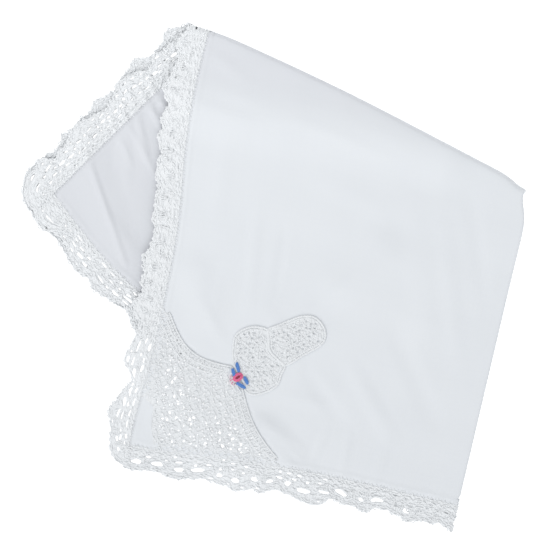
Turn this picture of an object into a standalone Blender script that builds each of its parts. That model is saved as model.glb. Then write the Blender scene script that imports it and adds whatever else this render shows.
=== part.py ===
"""A white cotton handkerchief with a crocheted edging, folded in four and laid down.

The handkerchief is drawn flat first, in u across and v up from the corner with the butterfly.
It is then folded twice. The right half goes behind the left half, and the upper part of that
pair goes behind the lower part, so four layers lie on the surface with the butterfly on top.
Lengths are in millimetres up to the point where a mesh is made, which is in metres.
"""

from math import copysign, cos, exp, floor, pi, sin

import bmesh
import bpy
from mathutils import Matrix, Vector
from mathutils.geometry import delaunay_2d_cdt

MM = 0.001

# Driving dimensions of the flat handkerchief
CLOTH_SIZE = 276.0
SHEET_THICKNESS = 1.0
PIECE_GAP = 0.3
LAYER_PITCH = 1.6

# Crocheted edging
LACE_VALLEY = 9.5
LACE_SCALLOP = 2.5
LACE_SWELL = 0.6
LACE_SWELL_LENGTH = 83.0
REPEATS_A_SIDE = 23
REPEAT = CLOTH_SIZE / REPEATS_A_SIDE
POINTS_A_REPEAT = 4
CORNER_STEPS = 6
HOLE_LENGTH = 7.0
HOLE_WIDTH = 4.3
HOLE_CENTRE = 7.6
HOLE_CLEAR_OF_FOLD = 6.5

# Creases on the flat handkerchief
RIGHT_FOLD = CLOTH_SIZE / 2
TOP_FOLD = 139.0
TOP_FOLD_RISE = 0.297
TOP_FOLD_RISE_BEHIND = 0.22
PAIR_RADIUS = LAYER_PITCH / 2
STACK_RADIUS = LAYER_PITCH
STACK_MIDDLE = 1.5 * LAYER_PITCH + SHEET_THICKNESS / 2
PAIR_STEPS = 3
STACK_STEPS = 4

# Corners of the folded layers on the surface: x to the right, y up the picture
CORNERS = {
    "fold_meeting": Vector((111.3, 36.6)),
    "top_fold_end": Vector((-28.2, 105.4)),
    "top_fold_end_inside": Vector((-25.4, 104.0)),
    "right_fold_end": Vector((79.8, -98.0)),
    "butterfly_corner": Vector((-55.7, -66.2)),
    "corner_behind_it": Vector((-25.2, -48.6)),
    "right_fold_end_below": Vector((4.9, -62.4)),
    "left_corner": Vector((-93.5, 39.1)),
    "left_corner_inside": Vector((-91.8, 38.3)),
}

# Where a layer swells in its own plane: place on the flat cloth, reach and shift on the surface
FLAT_SWELLS = [
    # name, u, v, reach, shift x, shift y
    ("butterfly corner", 0.0, 0.0, 30.0, -5.6, -5.2),
    ("lower edge beside it", 38.0, 0.0, 30.0, 0.0, -1.8),
    ("left edge", 0.0, 128.0, 34.0, -2.3, 0.0),
    ("lowest layer's edge", 40.0, 276.0, 45.0, -4.8, -4.4),
    ("next layer's edge", 236.0, 276.0, 45.0, -4.8, -4.4),
]

# Where the whole pile swells: place on the surface, reach and shift
PILE_SWELLS = [
    # name, x, y, reach, shift x, shift y
    ("round right corner", 111.3, 36.6, 9.0, -3.8, -0.6),
    ("bow of the top fold", 28.6, 78.7, 60.0, 0.8, 1.6),
    ("edging over the top fold", -38.0, 113.0, 14.0, 1.5, -3.2),
]

# Soft ridges of the top layers: two ends on the surface, half width and height
RIDGES = [
    # name, x0, y0, x1, y1, half width, height
    ("along the top fold", -34.0, 75.0, 74.0, 52.0, 18.0, 1.8),
    ("left hill", -33.0, 2.0, -28.0, -14.0, 12.0, 0.9),
    ("middle hill", 48.0, 10.0, 32.0, -4.0, 16.0, 1.2),
    ("pucker under the butterfly", -4.0, -66.0, 12.0, -84.0, 10.0, 1.8),
    ("crease of the left triangle", -81.5, 58.1, -66.0, 14.0, 11.0, 3.0),
]

# The top pair comes down to the surface beside the pair under it
SETTLE_WIDTH = 24.0
SETTLE_CLEAR_OF_FOLD = 2.5
SETTLE_CLEAR_OF_EDGE = 22.0

# Points of the flat sheet
GRID = CLOTH_SIZE / 42
GRID_MARGIN = 2.0
LEVEL = 0.001
MERGE = 1e-4
CREASE_OVERRUN = 14.0

# Window of the corner net, clockwise from its top left: each side runs to the next row's point
WINDOW_SIDES = [
    # name, u, v, bow to the left of the way, steps
    ("arc to the butterfly", 3.2, 57.0, 7.0, 8),
    ("neck at the butterfly", 33.0, 37.3, 0.0, 1),
    ("arc from the butterfly", 38.6, 30.0, 2.4, 7),
    ("bottom hem", 58.5, 3.2, 0.0, 7),
    ("tip", 17.0, 3.2, -2.6, 4),
    ("left hem", 6.5, 18.0, 0.4, 6),
]
NET_PITCH = 7.8
NET_HOLE = 4.5
NET_RIM = 2.2
NET_ROWS = 20
NET_COLUMNS = 12

# Wings, body and stitches of the butterfly
WING_POINTS = 36
LOWER_WING = {"u": 43.3, "v": 42.8, "long": 14.2, "wide": 11.4, "turn": pi / 2, "square": 2.3}
UPPER_WING = {"u": 58.6, "v": 54.6, "long": 13.6, "wide": 9.0, "turn": 0.653, "square": 2.6}
BODY_CLEARING = {"u": 36.8, "v": 32.8, "long": 6.9, "wide": 6.9, "turn": 0.0, "square": 2.0}
STITCH_POINTS = 16
STITCH_HEIGHT = 0.9
BUD = {"u": 36.2, "v": 32.0, "long": 2.0, "wide": 1.2, "turn": pi / 4, "square": 2.0}
PETAL_LONG = 2.1
PETAL_WIDE = 0.8
PETALS = [
    # name, u, v, turn
    ("petal_1", 35.3, 36.9, -1.15),
    ("petal_2", 33.1, 34.5, -1.10),
    ("petal_3", 40.1, 31.5, -1.00),
    ("petal_4", 38.4, 28.4, -0.37),
]


def crease_height(u):
    """Height of the top fold on the flat cloth, above its lower edge."""
    rise = TOP_FOLD_RISE if u < RIGHT_FOLD else TOP_FOLD_RISE_BEHIND
    return TOP_FOLD + rise * abs(u - RIGHT_FOLD)


def bend(distance, radius, offset):
    """Take a point round a fold: its way in from the fold line, its rise and its side, -1 to 1."""
    straight = abs(distance) - pi * radius / 2
    if straight >= 0:
        side = copysign(1.0, distance)
        return straight, side * (radius + offset), side
    turn = distance / radius
    return -(radius + offset) * cos(turn), (radius + offset) * sin(turn), sin(turn)


def swollen(point, place, rows):
    """Shift a point of the surface by each swell that reaches the given place."""
    moved = point.copy()
    for _, x, y, reach, shift_x, shift_y in rows:
        near = exp(-((place.x - x) ** 2 + (place.y - y) ** 2) / reach ** 2)
        moved += near * Vector((shift_x, shift_y))
    return moved


def smooth(share):
    """Ease from 0 to 1."""
    held = min(max(share, 0.0), 1.0)
    return held * held * (3 - 2 * held)


def settled(point):
    """How far the top pair has come down at a point of the surface, from 0 to 1."""
    corner = CORNERS["right_fold_end_below"]
    along_fold = (corner - CORNERS["fold_meeting"]).normalized()
    along_edge = (CORNERS["left_corner"] - corner).normalized()
    beyond_fold = (point - corner).dot(Vector((-along_fold.y, along_fold.x)))
    beyond_edge = (point - corner).dot(Vector((-along_edge.y, along_edge.x)))
    past_fold = smooth((beyond_fold - SETTLE_CLEAR_OF_FOLD) / SETTLE_WIDTH)
    past_edge = smooth((beyond_edge - SETTLE_CLEAR_OF_EDGE) / SETTLE_WIDTH)
    return 1 - (1 - past_fold) * (1 - past_edge)


def ridge_height(point):
    """Height that the soft ridges give the top layer at a point of the surface."""
    height = 0.0
    for _, x0, y0, x1, y1, half_width, top in RIDGES:
        start = Vector((x0, y0))
        way = Vector((x1, y1)) - start
        share = min(max((point - start).dot(way) / way.length_squared, 0.0), 1.0)
        distance = (point - start - share * way).length
        if distance < half_width:
            height += top * cos(pi * distance / (2 * half_width)) ** 2
    return height


def pile_place(u, v, w):
    """Where a point w above the flat cloth's middle comes in the plain folded pile."""
    in_1, rise_1, side_1 = bend(RIGHT_FOLD - u, PAIR_RADIUS, w)
    crease = crease_height(u)
    in_2, rise_2, side_2 = bend(crease - v, STACK_RADIUS, rise_1)
    front = (1 + side_1) / 2
    above = (1 + side_2) / 2
    across = in_1 / (RIGHT_FOLD - pi * PAIR_RADIUS / 2)
    down = crease - pi * STACK_RADIUS / 2
    down_below = CLOTH_SIZE - crease - pi * STACK_RADIUS / 2
    fold_end = CORNERS["top_fold_end_inside"].lerp(CORNERS["top_fold_end"], front)
    corner = CORNERS["corner_behind_it"].lerp(CORNERS["butterfly_corner"], front)
    corner_below = CORNERS["left_corner_inside"].lerp(CORNERS["left_corner"], front)
    hinge = CORNERS["fold_meeting"].lerp(fold_end, across)
    edge = CORNERS["right_fold_end"].lerp(corner, across)
    edge_below = CORNERS["right_fold_end_below"].lerp(corner_below, across)
    step = ((edge_below - hinge) / down_below).lerp((edge - hinge) / down, above)
    point = swollen(hinge + in_2 * step, Vector((u, v)), FLAT_SWELLS)
    drop = 2 * LAYER_PITCH * above * settled(point)
    return point, STACK_MIDDLE + rise_2 - drop


def folded(u, v, w):
    """Place on the surface, in metres, of a point w above the flat cloth's middle."""
    middle_point, middle_height = pile_place(u, v, 0.0)
    point, height = pile_place(u, v, w)
    lowest = SHEET_THICKNESS / 2
    lift = (middle_height - lowest) * ridge_height(middle_point) / (3 * LAYER_PITCH)
    placed = swollen(point, point, PILE_SWELLS)
    return Vector((placed.x, placed.y, height + lift)) * MM


def uneven(u, v):
    """Whether the sheet isn't level round a point, so that it needs a point of its own there."""
    steps = [(0, 0), (0, GRID), (0, -GRID)]
    if abs(u - RIGHT_FOLD) > GRID / 2:
        steps += [(GRID, 0), (-GRID, 0)]
    heights = [folded(u + step_u, v + step_v, 0.0).z for step_u, step_v in steps]
    return max(heights) - min(heights) > LEVEL * MM


def column_places():
    """Places across the flat handkerchief: those of the bend, and an even grid to its sides."""
    bend_half = pi * PAIR_RADIUS / 2
    places = [RIGHT_FOLD + bend_half * step / PAIR_STEPS for step in range(-PAIR_STEPS, PAIR_STEPS + 1)]
    count = floor(CLOTH_SIZE / GRID / 2)
    for step in range(1, count + 3):
        places.append(RIGHT_FOLD + step * GRID)
        places.append(RIGHT_FOLD - step * GRID)
    return sorted(places)


def crease_lines():
    """The lines of both bends, as strings of points that overrun the cloth and its edging."""
    lines = []
    bend_half = pi * PAIR_RADIUS / 2
    for step in range(-PAIR_STEPS, PAIR_STEPS + 1):
        u = RIGHT_FOLD + bend_half * step / PAIR_STEPS
        lines.append([(u, -CREASE_OVERRUN), (u, CLOTH_SIZE + CREASE_OVERRUN)])
    stack_half = pi * STACK_RADIUS / 2
    for step in range(-STACK_STEPS, STACK_STEPS + 1):
        reach = stack_half * step / STACK_STEPS
        lines.append([(u, crease_height(u) + reach) for u in column_places()])
    return lines


def grid_points(low, high):
    """Even points between two bounds of the flat sheet, across and up, where it isn't level."""
    points = []
    for u in column_places():
        if not low < u < high:
            continue
        rows = floor(CLOTH_SIZE / GRID)
        for row in range(-rows, rows):
            v = crease_height(u) + (row + 0.5) * GRID
            if low < v < high and uneven(u, v):
                points.append((u, v))
    return points


def inside(point, loop):
    """Whether a point lies inside a closed loop."""
    x, y = point
    found = False
    for (x0, y0), (x1, y1) in zip(loop, loop[1:] + loop[:1]):
        if (y0 > y) != (y1 > y) and x < x0 + (y - y0) * (x1 - x0) / (y1 - y0):
            found = not found
    return found


def distance_to_loop(point, loop):
    """Shortest way from a point to a closed loop."""
    spot = Vector(point)
    best = float("inf")
    for first, second in zip(loop, loop[1:] + loop[:1]):
        start = Vector(first)
        way = Vector(second) - start
        share = min(max((spot - start).dot(way) / way.length_squared, 0.0), 1.0)
        best = min(best, (spot - start - share * way).length)
    return best


def inset(loop, amount):
    """A closed loop moved to its left by an amount, which is inwards if it runs anticlockwise."""
    moved = []
    for before, here, after in zip(loop[-1:] + loop[:-1], loop, loop[1:] + loop[:1]):
        way_in = (Vector(here) - Vector(before)).normalized()
        way_out = (Vector(after) - Vector(here)).normalized()
        left = Vector((-way_in.y - way_out.y, way_in.x + way_out.x)).normalized()
        share = max(left.dot(Vector((-way_in.y, way_in.x))), 0.5)
        spot = Vector(here) + left * amount / share
        moved.append((spot.x, spot.y))
    return moved


def oval(shape, points, grow=0.0):
    """A closed oval loop, squarer the higher its exponent."""
    loop = []
    for step in range(points):
        angle = 2 * pi * step / points
        power = 2 / shape["square"]
        along = copysign(abs(cos(angle)) ** power, cos(angle)) * (shape["long"] + grow)
        beside = copysign(abs(sin(angle)) ** power, sin(angle)) * (shape["wide"] + grow)
        turn = shape["turn"]
        u = shape["u"] + along * cos(turn) - beside * sin(turn)
        v = shape["v"] + along * sin(turn) + beside * cos(turn)
        loop.append((u, v))
    return loop


def lace_depth(length):
    """Depth of the edging at a length along one side."""
    scallop = LACE_SCALLOP * abs(sin(pi * length / REPEAT))
    return LACE_VALLEY + scallop + LACE_SWELL * sin(2 * pi * length / LACE_SWELL_LENGTH)


def side_point(side, length, depth):
    """Point of a side's edging: sides 0 to 3 run anticlockwise from the lower one."""
    turns = {
        0: (length, -depth),
        1: (CLOTH_SIZE + depth, length),
        2: (CLOTH_SIZE - length, CLOTH_SIZE + depth),
        3: (-depth, CLOTH_SIZE - length),
    }
    return turns[side]


def lace_outline():
    """The scalloped outer edge of the edging, anticlockwise."""
    loop = []
    for side in range(4):
        steps = REPEATS_A_SIDE * POINTS_A_REPEAT
        for step in range(steps + 1):
            length = CLOTH_SIZE * step / steps
            loop.append(side_point(side, length, lace_depth(length)))
        centre = Vector(side_point(side, CLOTH_SIZE, 0.0))
        end_depth = lace_depth(CLOTH_SIZE)
        start_depth = lace_depth(0.0)
        for step in range(1, CORNER_STEPS):
            share = step / CORNER_STEPS
            angle = (side - 1 + share) * pi / 2
            depth = end_depth + (start_depth - end_depth) * share
            depth += LACE_SCALLOP * sin(pi * share)
            spot = centre + depth * Vector((cos(angle), sin(angle)))
            loop.append((spot.x, spot.y))
    return loop


def square_loop(margin):
    """The cloth's outline, moved out by a margin, with points along its sides."""
    loop = []
    steps = round(CLOTH_SIZE / GRID)
    for side in range(4):
        for step in range(steps):
            length = CLOTH_SIZE * step / steps
            if step == 0:
                length = -margin
            loop.append(side_point(side, length, margin))
    return loop


def lace_holes():
    """One six-sided hole in each repeat of the edging, clear of the folds."""
    holes = []
    for side in range(4):
        for repeat in range(REPEATS_A_SIDE):
            middle = (repeat + 0.5) * REPEAT
            u, v = side_point(side, middle, HOLE_CENTRE)
            off_fold = abs(u - RIGHT_FOLD) if side in (0, 2) else abs(v - crease_height(u))
            if off_fold < HOLE_CLEAR_OF_FOLD:
                continue
            swell = LACE_SWELL * sin(2 * pi * middle / LACE_SWELL_LENGTH)
            loop = []
            for step in range(6):
                angle = step * pi / 3
                length = middle + HOLE_LENGTH / 2 * cos(angle)
                depth = HOLE_CENTRE + swell - HOLE_WIDTH / 2 * sin(angle) / sin(pi / 3)
                loop.append(side_point(side, length, depth))
            holes.append(loop)
    return holes


def window_loop():
    """The outline of the net's window, clockwise, with bowed sides."""
    loop = []
    for (_, u0, v0, bow, steps), following in zip(WINDOW_SIDES, WINDOW_SIDES[1:] + WINDOW_SIDES[:1]):
        start = Vector((u0, v0))
        way = Vector(following[1:3]) - start
        right = Vector((way.y, -way.x)).normalized()
        for step in range(steps):
            share = step / steps
            spot = start + share * way + bow * sin(pi * share) * right
            loop.append((spot.x, spot.y))
    return loop


def net_holes(outline):
    """Diamond holes of the net, staggered in rows, clear of its outline."""
    holes = []
    half = NET_HOLE / 2
    for row in range(NET_ROWS):
        for column in range(NET_COLUMNS):
            u = (column + 0.5 * (row % 2)) * NET_PITCH
            v = row * NET_PITCH / 2
            loop = [(u + half, v), (u, v + half), (u - half, v), (u, v - half)]
            clear = [inside(spot, outline) and distance_to_loop(spot, outline) > NET_RIM for spot in loop]
            if all(clear):
                holes.append(loop)
    return holes


def anticlockwise(loop):
    """The same closed loop, turned round if it runs clockwise."""
    area = sum(x0 * y1 - x1 * y0 for (x0, y0), (x1, y1) in zip(loop, loop[1:] + loop[:1]))
    return loop if area > 0 else loop[::-1]


def flat_sheet(loops, holes, lines, points):
    """Triangles of a flat sheet within the loops and outside the holes."""
    spots = []
    edges = []
    faces = []
    for loop in loops + holes:
        first = len(spots)
        spots.extend(anticlockwise(loop))
        faces.append(list(range(first, len(spots))))
    for line in lines:
        first = len(spots)
        spots.extend(line)
        edges.extend((index, index + 1) for index in range(first, len(spots) - 1))
    spots.extend(points)
    coordinates = [Vector(spot) for spot in spots]
    result = delaunay_2d_cdt(coordinates, edges, faces, 0, MERGE, True)
    kept = []
    for face, origins in zip(result[2], result[5]):
        in_loop = any(origin < len(loops) for origin in origins)
        in_hole = any(origin >= len(loops) for origin in origins)
        if in_loop and not in_hole:
            kept.append(tuple(face))
    return result[0], kept


def add_sheet(name, finish, loops, holes, low, high, lines=(), points=()):
    """Make one closed sheet between two heights over the flat cloth's middle, folded."""
    spots, faces = flat_sheet(loops, holes, list(lines), list(points))
    shape = bmesh.new()
    upper = {}
    lower = {}
    for index in sorted({corner for face in faces for corner in face}):
        u, v = spots[index]
        upper[index] = shape.verts.new(folded(u, v, high))
        lower[index] = shape.verts.new(folded(u, v, low))
    borders = {}
    for face in faces:
        shape.faces.new([upper[corner] for corner in face])
        shape.faces.new([lower[corner] for corner in reversed(face)])
        for first, second in zip(face, face[1:] + face[:1]):
            if (second, first) in borders:
                del borders[(second, first)]
            else:
                borders[(first, second)] = True
    for first, second in borders:
        shape.faces.new([upper[first], lower[first], lower[second], upper[second]])
    bmesh.ops.triangulate(shape, faces=shape.faces[:])
    mesh = bpy.data.meshes.new(name)
    shape.to_mesh(mesh)
    shape.free()
    mesh.materials.append(finish)
    thing = bpy.data.objects.new(name, mesh)
    bpy.context.scene.collection.objects.link(thing)
    return thing


def make_finish(name, colour, roughness):
    """A plain cloth or thread finish."""
    finish = bpy.data.materials.new(name)
    finish.use_nodes = True
    shader = finish.node_tree.nodes["Principled BSDF"]
    shader.inputs["Base Color"].default_value = (*colour, 1.0)
    shader.inputs["Roughness"].default_value = roughness
    shader.inputs["Metallic"].default_value = 0.0
    finish.diffuse_color = (*colour, 1.0)
    return finish


def make_cloth():
    """The hemmed square of cloth, with the net's window."""
    finish = make_finish("cotton_lawn", (0.80, 0.82, 0.85), 0.85)
    outline = square_loop(0.0)
    window = window_loop()
    points = []
    for spot in grid_points(GRID_MARGIN, CLOTH_SIZE - GRID_MARGIN):
        if not inside(spot, window) and distance_to_loop(spot, window) > GRID_MARGIN:
            points.append(spot)
    half = SHEET_THICKNESS / 2
    return add_sheet("cloth", finish, [outline], [window], -half, half, crease_lines(), points)


def make_lace_border():
    """The closed strip of crocheted edging."""
    finish = make_finish("crochet_cotton", (0.87, 0.88, 0.90), 0.8)
    inner = square_loop(PIECE_GAP)
    half = SHEET_THICKNESS / 2
    holes = [inner] + lace_holes()
    return add_sheet("lace_border", finish, [lace_outline()], holes, -half, half, crease_lines())


def make_corner_net():
    """The net that is let into the window, with its larger meshes cut."""
    finish = make_finish("net_cotton", (0.85, 0.86, 0.89), 0.8)
    outline = inset(window_loop(), -PIECE_GAP)
    holes = net_holes(outline)
    points = []
    for spot in grid_points(0.0, CLOTH_SIZE / 4):
        off_holes = all(distance_to_loop(spot, hole) > GRID_MARGIN / 2 for hole in holes)
        in_a_hole = any(inside(spot, hole) for hole in holes)
        far_in = inside(spot, outline) and distance_to_loop(spot, outline) > GRID_MARGIN
        if far_in and off_holes and not in_a_hole:
            points.append(spot)
    half = SHEET_THICKNESS / 2
    return add_sheet("corner_net", finish, [outline], holes, -half, half, (), points)


def make_wings():
    """The pair of wings on the cloth, cut clear of the stitched body."""
    finish = make_finish("wing_cotton", (0.84, 0.86, 0.89), 0.8)
    low = SHEET_THICKNESS / 2 + PIECE_GAP
    loops = [oval(LOWER_WING, WING_POINTS), oval(UPPER_WING, WING_POINTS)]
    clearing = oval(BODY_CLEARING, STITCH_POINTS)
    return add_sheet("wings", finish, loops, [clearing], low, low + SHEET_THICKNESS)


def make_stitches():
    """The pink bud and the four blue stitches of the butterfly's body."""
    pink = make_finish("pink_thread", (0.78, 0.10, 0.27), 0.5)
    blue = make_finish("blue_thread", (0.08, 0.22, 0.65), 0.5)
    low = SHEET_THICKNESS / 2 + PIECE_GAP
    add_sheet("bud", pink, [oval(BUD, STITCH_POINTS)], [], low, low + STITCH_HEIGHT)
    for name, u, v, turn in PETALS:
        shape = {"u": u, "v": v, "long": PETAL_LONG, "wide": PETAL_WIDE, "turn": turn, "square": 2.0}
        add_sheet(name, blue, [oval(shape, STITCH_POINTS)], [], low, low + STITCH_HEIGHT)


def centre_on_origin(things):
    """Shift every mesh so that the pile's box is centred on the origin and stands on it."""
    spots = [corner.co for thing in things for corner in thing.data.vertices]
    low = Vector([min(spot[axis] for spot in spots) for axis in range(3)])
    high = Vector([max(spot[axis] for spot in spots) for axis in range(3)])
    shift = Vector((-(low.x + high.x) / 2, -(low.y + high.y) / 2, -low.z))
    for thing in things:
        thing.data.transform(Matrix.Translation(shift))


def main():
    """Clear the scene, make every piece and set the origin."""
    for thing in list(bpy.data.objects):
        bpy.data.objects.remove(thing, do_unlink=True)
    make_cloth()
    make_lace_border()
    make_corner_net()
    make_wings()
    make_stitches()
    centre_on_origin(list(bpy.data.objects))


main()
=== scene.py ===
"""Dresses the folded lace handkerchief: thin cloth, crocheted edging, corner net and butterfly.

The handkerchief is drawn flat, in u across and v up from the butterfly's corner, with w the height
over the cloth's middle. The pile then folds it in four, exactly as its solids are folded.
Lengths are in millimetres until a mesh is made, which is in metres.
"""

import logging
from dataclasses import dataclass, field
from enum import Enum
from math import ceil, cos, floor, pi, sin
from typing import Any, Sequence

import bpy
import numpy as np
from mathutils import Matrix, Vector
from mathutils.geometry import delaunay_2d_cdt


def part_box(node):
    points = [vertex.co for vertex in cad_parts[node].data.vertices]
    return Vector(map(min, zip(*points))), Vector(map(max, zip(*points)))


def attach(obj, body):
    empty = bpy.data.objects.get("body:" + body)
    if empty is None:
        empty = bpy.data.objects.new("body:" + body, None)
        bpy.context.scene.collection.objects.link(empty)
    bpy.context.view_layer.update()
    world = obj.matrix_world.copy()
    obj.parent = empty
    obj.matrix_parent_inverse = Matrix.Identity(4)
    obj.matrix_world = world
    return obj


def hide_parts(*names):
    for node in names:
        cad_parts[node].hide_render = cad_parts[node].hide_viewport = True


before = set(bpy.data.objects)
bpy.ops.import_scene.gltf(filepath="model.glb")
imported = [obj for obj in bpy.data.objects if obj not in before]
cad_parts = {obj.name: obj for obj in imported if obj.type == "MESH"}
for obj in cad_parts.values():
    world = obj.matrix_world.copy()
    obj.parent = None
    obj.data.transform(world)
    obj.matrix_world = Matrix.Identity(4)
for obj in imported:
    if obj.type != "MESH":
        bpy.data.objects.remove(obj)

log = logging.getLogger("handkerchief")

MM = 0.001
ROOT = "root"
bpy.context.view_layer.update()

CLOTH_SIZE = 276.0
REPEATS_A_SIDE = 23
REPEAT = CLOTH_SIZE / REPEATS_A_SIDE
TINY = 1e-12
SAME_SPOT = 1e-4

Numbers = np.ndarray
Spot = tuple[float, float]
Loop = Sequence[Spot]
Colour = tuple[float, float, float]
Way = tuple[float, float, float]

# light and dark ends of each kind of thread's colour; the finishes move towards the dark end where
# their relief sinks, which is painted shade
WHITE = ((0.86, 0.875, 0.89), (0.81, 0.828, 0.845))
FINE_WHITE = ((0.818, 0.832, 0.847), (0.77, 0.789, 0.806))
# near-white thread of the net's knots: a painted highlight
HIGHLIGHT_WHITE = ((0.985, 0.985, 0.99), (0.96, 0.965, 0.975))
PINK = ((0.80, 0.20, 0.36), (0.72, 0.12, 0.27))
CRIMSON = ((0.42, 0.01, 0.07), (0.34, 0.008, 0.05))
BLUE = ((0.14, 0.31, 0.68), (0.07, 0.19, 0.54))
SATIN_ROUGHNESS = 0.45


class Thickness(Enum):
    """How a thread's thickness runs along it."""

    PLAIN = 0.0
    BEADED = 0.26
    KNOTTED = 0.42


def smooth(share: Numbers) -> Numbers:
    """Ease from 0 to 1."""
    held = np.clip(share, 0.0, 1.0)
    return held * held * (3 - 2 * held)


def bend(distance: Numbers, radius: float, offset: Numbers) -> tuple[Numbers, Numbers, Numbers]:
    """Take points round a fold.

    Args:
        distance: signed way from the fold line on the flat cloth.
        radius: radius of the fold at the cloth's middle.
        offset: height over the cloth's middle.

    Returns:
        The way in from the fold line, the rise and the side, from -1 to 1.
    """
    straight = np.abs(distance) - pi * radius / 2
    turn = np.clip(distance / radius, -pi / 2, pi / 2)
    flat = straight >= 0
    side = np.where(flat, np.where(distance < 0, -1.0, 1.0), np.sin(turn))
    way = np.where(flat, straight, -(radius + offset) * np.cos(turn))
    return way, (radius + offset) * side, side


def as_spots(u: Numbers, v: Numbers) -> list[Spot]:
    """Points as pairs of plain numbers."""
    return list(zip(u.tolist(), v.tolist()))


def crossings(across: Numbers, up: Numbers) -> tuple[Numbers, Numbers]:
    """Every place across with every place up."""
    u, v = np.meshgrid(across, up, indexing="ij")
    return u.ravel(), v.ravel()


def runs_of(kept: Numbers, fewest: int) -> list[Numbers]:
    """Runs of neighbouring places that are kept.

    Args:
        kept: True or False for each place.
        fewest: how many places a run has at least.

    Returns:
        The numbers of each run's places.
    """
    numbers = np.flatnonzero(kept)
    runs = np.split(numbers, np.flatnonzero(np.diff(numbers) > 1) + 1)
    return [run for run in runs if len(run) >= fewest]


def turned(middle: Sequence[float], along: Any, beside: Any, turn: float) -> tuple[Any, Any]:
    """Places found from a middle by ways along and beside a turned direction.

    Args:
        middle: u and v of the middle.
        along: way along the direction.
        beside: way to the left of it.
        turn: angle of the direction.

    Returns:
        The places across and up.
    """
    u = middle[0] + along * cos(turn) - beside * sin(turn)
    return u, middle[1] + along * sin(turn) + beside * cos(turn)


@dataclass(frozen=True)
class Oval:
    """An oval on the flat cloth."""

    u: float
    v: float
    long: float
    wide: float
    turn: float = 0.0

    def outline(self, count: int, grow: float = 0.0) -> list[Spot]:
        """Points round the oval.

        Args:
            count: how many points.
            grow: how far the outline is moved out.

        Returns:
            The points, anticlockwise.
        """
        angle = 2 * pi * np.arange(count) / count
        along, beside = np.cos(angle) * (self.long + grow), np.sin(angle) * (self.wide + grow)
        u, v = turned((self.u, self.v), along, beside, self.turn)
        return as_spots(u, v)


def way_to_line(points: Numbers, start: Spot, end: Spot) -> tuple[Numbers, Numbers]:
    """How far points are from a straight line.

    Args:
        points: one row of two coordinates for each point.
        start: where the line starts.
        end: where it ends.

    Returns:
        The distance of each point, and the share along the line of the place nearest to it.
    """
    first, way = np.array(start), np.array(end) - np.array(start)
    share = np.clip((points - first) @ way / max(way @ way, TINY), 0.0, 1.0)
    return np.linalg.norm(points - first - share[:, None] * way, axis=1), share


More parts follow.
